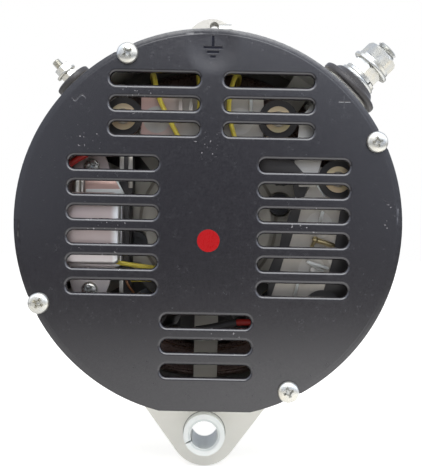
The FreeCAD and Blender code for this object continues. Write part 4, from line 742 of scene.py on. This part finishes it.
# %% A true helical thread
def threaded_rod(radius, pitch, start, end, steps=28, chamfer=0.6):
    """A rod with a cut thread from start to end along local Z, chamfered at its end."""
    depth = 0.61 * pitch
    vee = [(radius - depth, 0), (radius - 0.1 * pitch, 0.44 * pitch), (radius, 0.5 * pitch),
           (radius - 0.1 * pitch, 0.56 * pitch), (radius - depth, pitch)]
    turns = int((end - start) / pitch) + 3
    shape = swept([(r, start - pitch + z) for r, z in vee], False, steps * turns, TURN * turns,
                  pitch / steps)
    bmesh.ops.remove_doubles(shape, verts=shape.verts, dist=pitch * 0.01)
    for height, normal in ((start, (0, 0, -1)), (end, (0, 0, 1))):
        everything = shape.verts[:] + shape.edges[:] + shape.faces[:]
        bmesh.ops.bisect_plane(shape, geom=everything, plane_co=(0, 0, height), plane_no=normal,
                               clear_outer=True)
    for vert in shape.verts:
        reach = math.hypot(vert.co.x, vert.co.y)
        limit = radius - depth * 0.7 + max(0.0, end - vert.co.z) * (depth / chamfer)
        if reach > limit:
            vert.co.x *= limit / reach
            vert.co.y *= limit / reach
    bmesh.ops.holes_fill(shape, edges=shape.edges, sides=0)
    return shape


def hex_head(flats, start, end):
    """A hexagonal prism along local Z whose corners are softened at both faces."""
    corner = flats / math.sqrt(3)
    prism = cone(6, corner, corner, end - start, (start + end) / 2)
    return bevelled(prism, prism.edges[:], 0.045 * flats)


print("thread and hexagon helpers ready")

# %% [markdown]
# The two output studs stand out of the drum on moulded insulators. Each stud is a bolt from the
# inside: a hexagon head on its inner bush, then a threaded shank that passes the insulator, the
# washers and the nuts, and ends a few millimetres past the outer nut.

# %% Terminal studs with real threads
def radial_way(degrees):
    """The direction away from the shaft at this angle."""
    return Vector((math.cos(math.radians(degrees)), 0, math.sin(math.radians(degrees))))


MAIN_WAY, SIGNAL_WAY = radial_way(45.0), radial_way(134.4)
STUD_FOOT = Vector((0, 19.0, 0))
MAIN_HEAD, MAIN_TIP = (68.0, 73.0), 114.1
SIGNAL_HEAD, SIGNAL_TIP = (73.0, 76.0), 101.3


def stud(radius, pitch, flats, head, tip):
    """A hexagon head with a threaded shank."""
    return gathered([hex_head(flats, *head), threaded_rod(radius, pitch, head[1], tip)])


main_stud = stood(stud(5.0, 1.5, 14.0, MAIN_HEAD, MAIN_TIP), STUD_FOOT, MAIN_WAY)
make_piece("output_stud", main_stud, "zinc", ["b_stud"], 28)
signal_stud = stood(stud(2.0, 0.7, 7.0, SIGNAL_HEAD, SIGNAL_TIP), STUD_FOOT, SIGNAL_WAY)
make_piece("signal_stud", signal_stud, "zinc", ["r_stud"], 28)

# %% [markdown]
# A spring washer is a square wire bent into one turn of a helix, its two cut ends a little apart.
# A closed square profile spun almost all the way round, climbing as it goes, is that very shape,
# and the two open ends are then filled.

# %% Split spring washers
def spring_washer(inner, outer, thickness, gap_degrees=6.5, rise=0.35, steps=44):
    """One turn of square wire from height nought, its ends apart."""
    soft = 0.18
    low, high = 0.0, thickness - rise
    corners = [(inner + soft, low), (outer - soft, low), (outer, low + soft), (outer, high - soft),
               (outer - soft, high), (inner + soft, high), (inner, high - soft), (inner, low + soft)]
    shape = swept(corners, True, steps, TURN - math.radians(gap_degrees), rise / steps)
    bmesh.ops.holes_fill(shape, edges=shape.edges, sides=0)
    return shape


def rounded_washer(inner, outer, start, thickness, soft=0.3):
    """A pressed washer with rolled outer corners."""
    end = start + thickness
    return spun([(inner, start), (outer - soft, start), (outer - 0.3 * soft, start + 0.3 * soft),
                 (outer, start + soft), (outer, end - soft), (outer - 0.3 * soft, end - 0.3 * soft),
                 (outer - soft, end), (inner, end)], 56)


FIRST_WASHER, FIRST_SPRING = 93.4, 94.9
SECOND_WASHER, SECOND_SPRING = 101.9, 103.4
springs = [stood(spring_washer(5.2, 8.2, 2.0), MAIN_WAY * start + STUD_FOOT, MAIN_WAY, turn)
           for start, turn in ((FIRST_SPRING, 221), (SECOND_SPRING, 20))]
make_piece("output_spring_washers", gathered(springs), "zinc", ["b_spring_washers"])
flat_washers = gathered([rounded_washer(5.05, 9.0, FIRST_WASHER, 1.5),
                         rounded_washer(5.05, 9.4, SECOND_WASHER, 1.5)])
make_piece("output_washers", stood(flat_washers, STUD_FOOT, MAIN_WAY), "zinc", ["b_washers"])
signal_washer = rounded_washer(2.05, 5.0, 93.5, 1.0, 0.2)
make_piece("signal_washer", stood(signal_washer, STUD_FOOT, SIGNAL_WAY), "zinc", ["r_washer"])

# %% [markdown]
# The insulators are moulded, so every edge is round and the top slopes to a low boss. They are
# one profile each, from the collar in the wall's hole out to the boss under the first washer.

# %% Moulded insulators
main_profile = [(5.02, 80.7), (7.95, 80.7), (7.95, 87.5), (14.0, 87.5), (14.5, 87.7), (14.78, 88.2),
                (14.78, 89.6), (14.5, 90.2), (13.9, 90.6), (12.6, 90.95), (11.7, 91.2), (11.2, 91.7),
                (10.3, 92.9), (9.9, 93.25), (9.4, 93.4), (5.02, 93.4)]
signal_profile = [(2.02, 80.95), (4.45, 80.95), (4.45, 87.5), (8.0, 87.5), (8.45, 87.7),
                  (8.68, 88.15), (8.68, 89.6), (8.45, 90.15), (7.9, 90.45), (6.8, 90.5), (2.02, 90.5)]
make_piece("output_insulator", stood(spun(main_profile, 72), STUD_FOOT, MAIN_WAY),
           "black_insulator", ["b_insulator"], 50)
make_piece("signal_insulator", stood(spun(signal_profile, 60), STUD_FOOT, SIGNAL_WAY),
           "black_insulator", ["r_insulator"], 50)

# %% [markdown]
# The cover is held by four pan-head screws with a cross recess. The head is a turned dome. The
# recess is cut with a Boolean modifier by two crossed wedges and a small cone, and the result is
# kept as a mesh, so no modifier stays on the piece.

# %% Cross-recess screws
def carved(body_shape, tool_shapes):
    """The body with every tool cut out of it, as a new bmesh."""
    body = linked("carved_body", meshed("carved_body", body_shape))
    tools = [linked("carving_tool", meshed("carving_tool", shape)) for shape in tool_shapes]
    for tool in tools:
        cut = body.modifiers.new("cut", "BOOLEAN")
        cut.operation = "DIFFERENCE"
        cut.solver = "EXACT"
        cut.object = tool
    ready = body.evaluated_get(bpy.context.evaluated_depsgraph_get())
    mesh = bpy.data.meshes.new_from_object(ready)
    for helper in tools + [body]:
        bpy.data.objects.remove(helper)
    whole = bmesh.new()
    whole.from_mesh(mesh)
    bpy.data.meshes.remove(mesh)
    return whole


def recess_tools(size, depth, top):
    """Two crossed wedges and a cone, for a recess from the top down."""
    tools = []
    for turn in (0, 90):
        wedge = turned(cone(4, size * 0.3, size * 0.72, depth + 0.2, top - depth / 2 + 0.1), 45)
        bmesh.ops.scale(wedge, verts=wedge.verts, vec=(1, 0.24, 1))
        tools.append(turned(wedge, turn))
    return tools + [cone(20, size * 0.12, size * 0.27, depth + 0.3, top - depth / 2)]


def cross_screw(radius, height, recess, shank_radius, shank_length, pitch):
    """A pan head from nought to its height, with its threaded shank below."""
    dome = [(0, 0), (radius - 0.15, 0), (radius, 0.2), (radius, height * 0.42),
            (radius * 0.97, height * 0.6), (radius * 0.88, height * 0.78),
            (radius * 0.7, height * 0.92), (radius * 0.42, height * 0.985), (0, height)]
    head = carved(spun(dome, 56, closed=False), recess_tools(recess, height * 0.62, height))
    shank = threaded_rod(shank_radius, pitch, 0.0, shank_length, 16)
    return gathered([head, turned(shank, 180, "X")])


def screw_set(name, sizes, spots, turns, slot_name, stands_for):
    """Cross-recess screws of one size at several places, each turned by its own angle."""
    screws = [stood(cross_screw(*sizes), spot, TOWARDS_CAMERA, turn) for spot, turn in zip(spots, turns)]
    make_piece(name, gathered(screws), slot_name, [stands_for], 30)


SCREW_CIRCLE, SCREW_ANGLES = 82.5, (26.5, 116.5, 206.5, 296.5)
screw_set("cover_screws", (4.7, 3.15, 5.2, 2.45, 13.8, 0.8),
          [radial_way(angle) * SCREW_CIRCLE for angle in SCREW_ANGLES], (12, 38, 64, 21), "zinc",
          "rear_cover_screws")

# %% [markdown]
# A small round of red film is stuck in the middle of the cover. It is thinner than a tenth of a
# millimetre, so what shows is its gloss and its slightly lifted edge.

# %% Red sticker
STICKER_PIXEL = (208.3, 240.8)
sticker_finish = finish("red_film", (0.3, 0.0015, 0.003), (0.36, 0.003, 0.006), 0.0, (0.24, 0.36),
                        0.5, 0.008, 4, specular=0.25)
film = spun([(0, 0.0), (4.9, 0.0), (4.97, 0.05), (4.9, 0.1), (4.6, 0.09), (0, 0.08)], 72, closed=False)
stood(film, seen_at(*STICKER_PIXEL, -0.02), TOWARDS_CAMERA)
hand_over("red_sticker", meshed("red_sticker", film), sticker_finish)
print("sticker at", tuple(round(v, 1) for v in seen_at(*STICKER_PIXEL, 0)))

# %% [markdown]
# The stator's three leads rise from the winding and hook over to the rectifier plate, and a red
# lead runs round the drum. Each is a soft sleeve, so it is a smooth curve that is thick all along:
# a NURBS spline with the route's points, whose round section is the sleeve.

# %% Leads in their sleeves
STATOR_LEADS = (
    ((-27.0, 51.8, 66.0), (-27.5, 40.0, 67.0), (-27.0, 26.0, 68.0), (-25.5, 14.0, 66.5),
     (-23.5, 9.0, 56.0), (-18.0, 8.4, 45.5), (-13.0, 9.2, 36.5)),
    ((-5.5, 51.8, 66.0), (-6.0, 40.0, 67.5), (-5.5, 26.0, 68.5), (-5.0, 14.0, 67.0),
     (-4.6, 9.0, 57.5), (-4.8, 8.4, 48.5)),
    ((13.0, 51.8, 66.0), (13.5, 40.0, 67.5), (13.0, 26.0, 68.5), (11.0, 14.0, 67.0),
     (8.4, 9.0, 57.0), (8.2, 8.4, 47.0), (11.6, 9.2, 37.5)),
)
RED_LEAD = (
    (41.0, 10.3, -45.5), (32.5, 10.2, -45.4), (24.0, 10.5, -44.4), (14.0, 13.2, -44.2),
    (3.0, 16.0, -47.5), (-12.0, 17.5, -49.8), (-28.0, 17.5, -49.5), (-44.0, 16.0, -47.0),
    (-60.0, 14.5, -40.0), (-70.5, 13.0, -26.0), (-74.0, 12.0, -8.0), (-73.0, 11.5, 7.0),
    (-69.0, 11.0, 18.5), (-61.5, 10.8, 26.4), (-53.0, 11.8, 30.8), (-49.6, 14.6, 38.2),
    (-51.0, 17.2, 45.2), (-50.8, 18.6, 50.8),
)


def sleeve(name, routes, radius, slot_name, stands_for=()):
    """Round sleeves along smooth splines with the routes' points, as one piece."""
    curve = bpy.data.curves.new(name, "CURVE")
    curve.dimensions = "3D"
    curve.resolution_u = 10
    curve.bevel_depth = radius * MM
    curve.bevel_resolution = 3
    curve.use_fill_caps = True
    for route in routes:
        spline = curve.splines.new("NURBS")
        spline.points.add(len(route) - 1)
        for point, spot in zip(spline.points, route):
            point.co = (*place(*spot), 1)
        spline.order_u = 3
        spline.use_endpoint_u = True
    hand_over(name, curve, finishes[slot_name], stands_for)


sleeve("yellow_stator_leads", STATOR_LEADS, 1.1, "yellow_lead", ["stator_leads"])
sleeve("red_supply_lead", [RED_LEAD], 1.5, "red_lead", ["red_lead"])
COVERED = ((13.9, 13.2, -44.6), (11.2, 13.9, -45.0), (3.0, 16.0, -47.5), (-4.5, 16.75, -48.65))
sleeve("lead_splice_cover", [COVERED], 1.95, "black_insulator")
print("leads", len(STATOR_LEADS) + 1)

# %% [markdown]
# What shows through the slots is small: the rectifier's bolts, pins and wire ends, the folded
# side of the regulator's can, a strap, two wire tails. Their places come from the picture, so
# each is given as a pixel with its depth. Rods are turned with round ends, plates are outlines
# that are extruded and then bevelled.

# %% Helpers for the small inner pieces
def rod(start, end, radius, tip=None):
    """A round-ended rod between two places about the shaft; tip is a larger ball at its start."""
    begin, finish_at = Vector(start), Vector(end)
    length = (finish_at - begin).length
    profile = [(0, 0), (radius * 0.7, radius * 0.3), (radius, radius), (radius, length - radius),
               (radius * 0.7, length - radius * 0.3), (0, length)]
    if tip:
        profile = [(0, -tip), (tip * 0.7, -tip * 0.7), (tip, 0), (tip * 0.7, tip * 0.7),
                   (radius, tip * 1.1)] + profile[3:]
    return stood(spun(profile, 20, closed=False), start, finish_at - begin)


def seen_plate(pixels, depth, thickness, soft=0.25):
    """A flat plate, bevelled all round, whose outline is given in pixels at one depth."""
    shape = bmesh.new()
    face = shape.faces.new([shape.verts.new(place(*seen_at(x, y, depth))) for x, y in pixels])
    grown = bmesh.ops.extrude_face_region(shape, geom=[face])
    moved = [item for item in grown["geom"] if isinstance(item, bmesh.types.BMVert)]
    bmesh.ops.translate(shape, verts=moved, vec=(0, thickness * MM, 0))
    return bevelled(shape, shape.edges[:], soft * MM)


def upright(left, top, right, bottom):
    """The corner pixels of an upright rectangle."""
    return (left, top), (right, top), (right, bottom), (left, bottom)


def seen_rods(rows):
    """Rods given by the pixels and depths of their ends, then their radius and tip."""
    return [rod(seen_at(*start), seen_at(*end), *sizes) for start, end, *sizes in rows]


print("small piece helpers ready")

# %% [markdown]
# Four bolts hold the rectifier's plates. Each head is a low turned dome with a cross recess,
# and it sits on a gold washer and a black ring that the frame carries already.

# %% Rectifier bolts and regulator screws
SINK_BOLTS = ((-38.9, 46.9), (30.6, 46.9), (57.9, 20.5), (52.0, -38.0))
REGULATOR_SCREWS = ((-53.4, 24.7), (-53.4, -31.3))


def depths_of(node_name):
    """How far behind the cover's face a node starts and ends, in millimetres."""
    return [(corner.y - COVER_FACE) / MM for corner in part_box(node_name)]


BOLT_SEAT, SCREW_HEAD = 9.4, 2.8
bolt_end = depths_of("sink_bolts")[1]
screw_set("rectifier_bolts", (3.6, 2.3, 3.6, 1.95, bolt_end - BOLT_SEAT, 0.7),
          [(x, BOLT_SEAT, z) for x, z in SINK_BOLTS], (25, 58, 91, 124), "diode", "sink_bolts")
screw_seat, screw_end = depths_of("regulator_screws")
screw_seat += SCREW_HEAD
screw_set("regulator_cross_screws", (3.75, SCREW_HEAD, 3.8, 1.95, screw_end - screw_seat, 0.7),
          [(x, screw_seat, z) for x, z in REGULATOR_SCREWS], (15, 55), "zinc", "regulator_screws")

# %% [markdown]
# The regulator's can is drawn from sheet: a box with wide round corners, a soft front edge and a
# thin hem where it meets its base. A folded side stands proud on its right. A bent tab of the
# same sheet runs above it, beside a crimped post, and both leave from inside the can.

# %% Regulator can with its hem, tab and post
def rounded_box(low, high, corner, soft):
    """A box between two places whose long edges are rounded, then its front rim."""
    shape = bmesh.new()
    bmesh.ops.create_cube(shape, size=1)
    size = Vector(high) - Vector(low)
    bmesh.ops.scale(shape, verts=shape.verts, vec=size * MM)
    bmesh.ops.translate(shape, verts=shape.verts, vec=(place(*low) + place(*high)) / 2)
    long_edges = [e for e in shape.edges if abs(e.verts[0].co.y - e.verts[1].co.y) > size.y * MM / 2]
    bevelled(shape, long_edges, corner * MM, 5)
    front = min(v.co.y for v in shape.verts) + 1e-6
    rim = [e for e in shape.edges if all(v.co.y < front for v in e.verts)]
    return bevelled(shape, rim, soft * MM, 3)


can_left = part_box("regulator_can")[0].x / MM
can_low, can_high = [(corner.z - SHAFT_HEIGHT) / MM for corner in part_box("regulator_can")]
can_front, can_back = depths_of("regulator_can")
fold_edge = seen_at(118.8, 230, can_front)[0]
can = [rounded_box((can_left, can_front, can_low), (fold_edge, can_back, can_high), 2.6, 1.3),
       rounded_box((can_left - 1.2, can_back - 1.4, can_low - 1.6),
                   (fold_edge + 1.2, can_back, can_high + 1.2), 3.4, 0.6)]
make_piece("regulator_folded_can", gathered(can), "regulator", ["regulator_can"])
tab = seen_plate(((85, 180), (116, 180), (125.5, 196.5), (85, 196.5)), 12.5, 1.0)
make_piece("regulator_tab", tab, "sink_plate")
# Painted highlights: two pale strips along the tab's lower and slanted edges stand for the light on those edges.
tab_edge_highlights = [seen_plate(((85.5, 188.9), (121.3, 188.9), (124.0, 193.8), (85.5, 193.8)), 11.9, 0.8, 0.3),
       seen_plate(((115.2, 179.8), (117.2, 179.8), (124.6, 193.8), (122.4, 193.8)), 11.8, 0.8, 0.2)]
make_piece("regulator_tab_hem", gathered(tab_edge_highlights), "bush_steel")
post = seen_rods((((76.5, 173, 14), (76.5, 202, 14), 1.9), ((81.8, 173, 13.4), (81.8, 202, 13.4), 1.1)))
make_piece("crimped_post", gathered(post), "copper_strap")

# %% [markdown]
# A black moulded strip stands on the bracket's web beside the regulator and carries flat blades.
# A bare wire bends off its lower end. On the rectifier plates stand the diodes' own wires:
# straight, bent and ball-ended, each with its foot in the plate. Thin black sheets cover the
# plates' margins; the one at the side plate's outer end is a painted shadow, a dark sheet standing
# for the shadow of the cover's rim. A sheet is given by the depth of its front, its thickness and its bevel.

# %% Moulded strip, blades, wire tails and diode wires
strip = seen_plate(((119, 150), (133.4, 150), (133.4, 190), (131.5, 194), (131.5, 298), (119, 298)),
                   23.0, 15.2, 0.5)
flange = seen_plate(upright(123.0, 197, 129.5, 277), 19.2, 4.2, 0.4)
make_piece("terminal_strip", gathered([strip, flange]), "black_insulator")
edging = ((308.5, 184), (304.5, 197), (301, 209.5), (298, 221.5), (292.9, 234), (289.3, 246),
          (283.7, 259), (280, 271), (275.5, 284), (271.4, 296), (270.5, 300), (267.4, 300),
          (268.3, 284), (268.4, 271), (273.5, 259), (279.6, 246), (281.6, 234), (286.7, 221.5),
          (291, 209.5), (295, 197), (293, 184))
# Painted shadow: this dark sheet over the side plate's outer end stands for the shadow of the cover's rim.
rim_shadow_sheet = ((341, 206), (355, 206), (355, 301), (321.5, 301), (324.5, 288), (332, 262), (336, 238))
SIDE_SHEET, TOP_SHEET = (11.3, 0.9, 0.15), (6.2, 0.8, 0.15)
sheets = [seen_plate(edging, *SIDE_SHEET), seen_plate(rim_shadow_sheet, *SIDE_SHEET)]
make_piece("side_plate_insulation", gathered(sheets), "black_insulator")
corner_edge = ((258, 146), (285, 146), (292, 160), (304.5, 174), (258, 174))
make_piece("top_plate_insulation", seen_plate(corner_edge, *TOP_SHEET), "black_insulator")
BLADE_FRONT, BLADE_THICK = 22.2, 1.0
blades = [seen_plate(upright(*edges), BLADE_FRONT, BLADE_THICK) for edges in (
    (119.6, 151, 123.9, 178), (128.2, 151, 132.8, 188), (119.2, 275, 123.2, 297))]
make_piece("terminal_blades", gathered(blades), "copper_strap")
PLATE_FACE = 12.3
pins = (((251, 97.5, 8.5), (251, 114, PLATE_FACE), 0.75, 1.15),
        ((323, 211, 8.0), (319.5, 223, PLATE_FACE), 0.8),
        ((306.5, 261.6, 8.6), (329.0, 268.6, 9.6), 0.75),
        ((306.5, 261.6, 8.6), (323.5, 271.6, PLATE_FACE), 0.6),
        ((297.8, 283.5, 8.2), (294.2, 297, PLATE_FACE), 0.7),
        ((317.2, 185, 12.0), (325.0, 197.4, PLATE_FACE), 0.45))
make_piece("diode_wires", gathered(seen_rods(pins)), "bush_steel")
brass = (((315.2, 239.6, 8.2), (335, 246.2, 10.2), 1.15, 1.5),
         ((315.2, 239.8, 8.2), (310.4, 249.8, PLATE_FACE), 0.8))
make_piece("brass_wire", gathered(seen_rods(brass)), "retaining_ring")
tail = ((125.5, 276, 24), (126.5, 281, 22), (129, 287, 21.6), (133.5, 292, 24), (136, 299, 31),
        (137, 303, 39))
sleeve("bare_wire_tail", [[seen_at(*spot) for spot in tail]], 0.55, "coil_wrap")
link = ((108, 258, 21.5), (114, 261.6, 19.4), (122, 263.4, 18.6), (140, 266.0, 19), (157, 268.2, 19.5),
        (167, 271, 20.5), (167, 277, 21.5), (157, 279.2, 22), (145, 279.4, 22), (135, 279.6, 22),
        (129, 279.8, 25))
sleeve("yellow_field_lead", [[seen_at(*spot) for spot in link]], 1.05, "yellow_lead")
print("inner pieces placed")
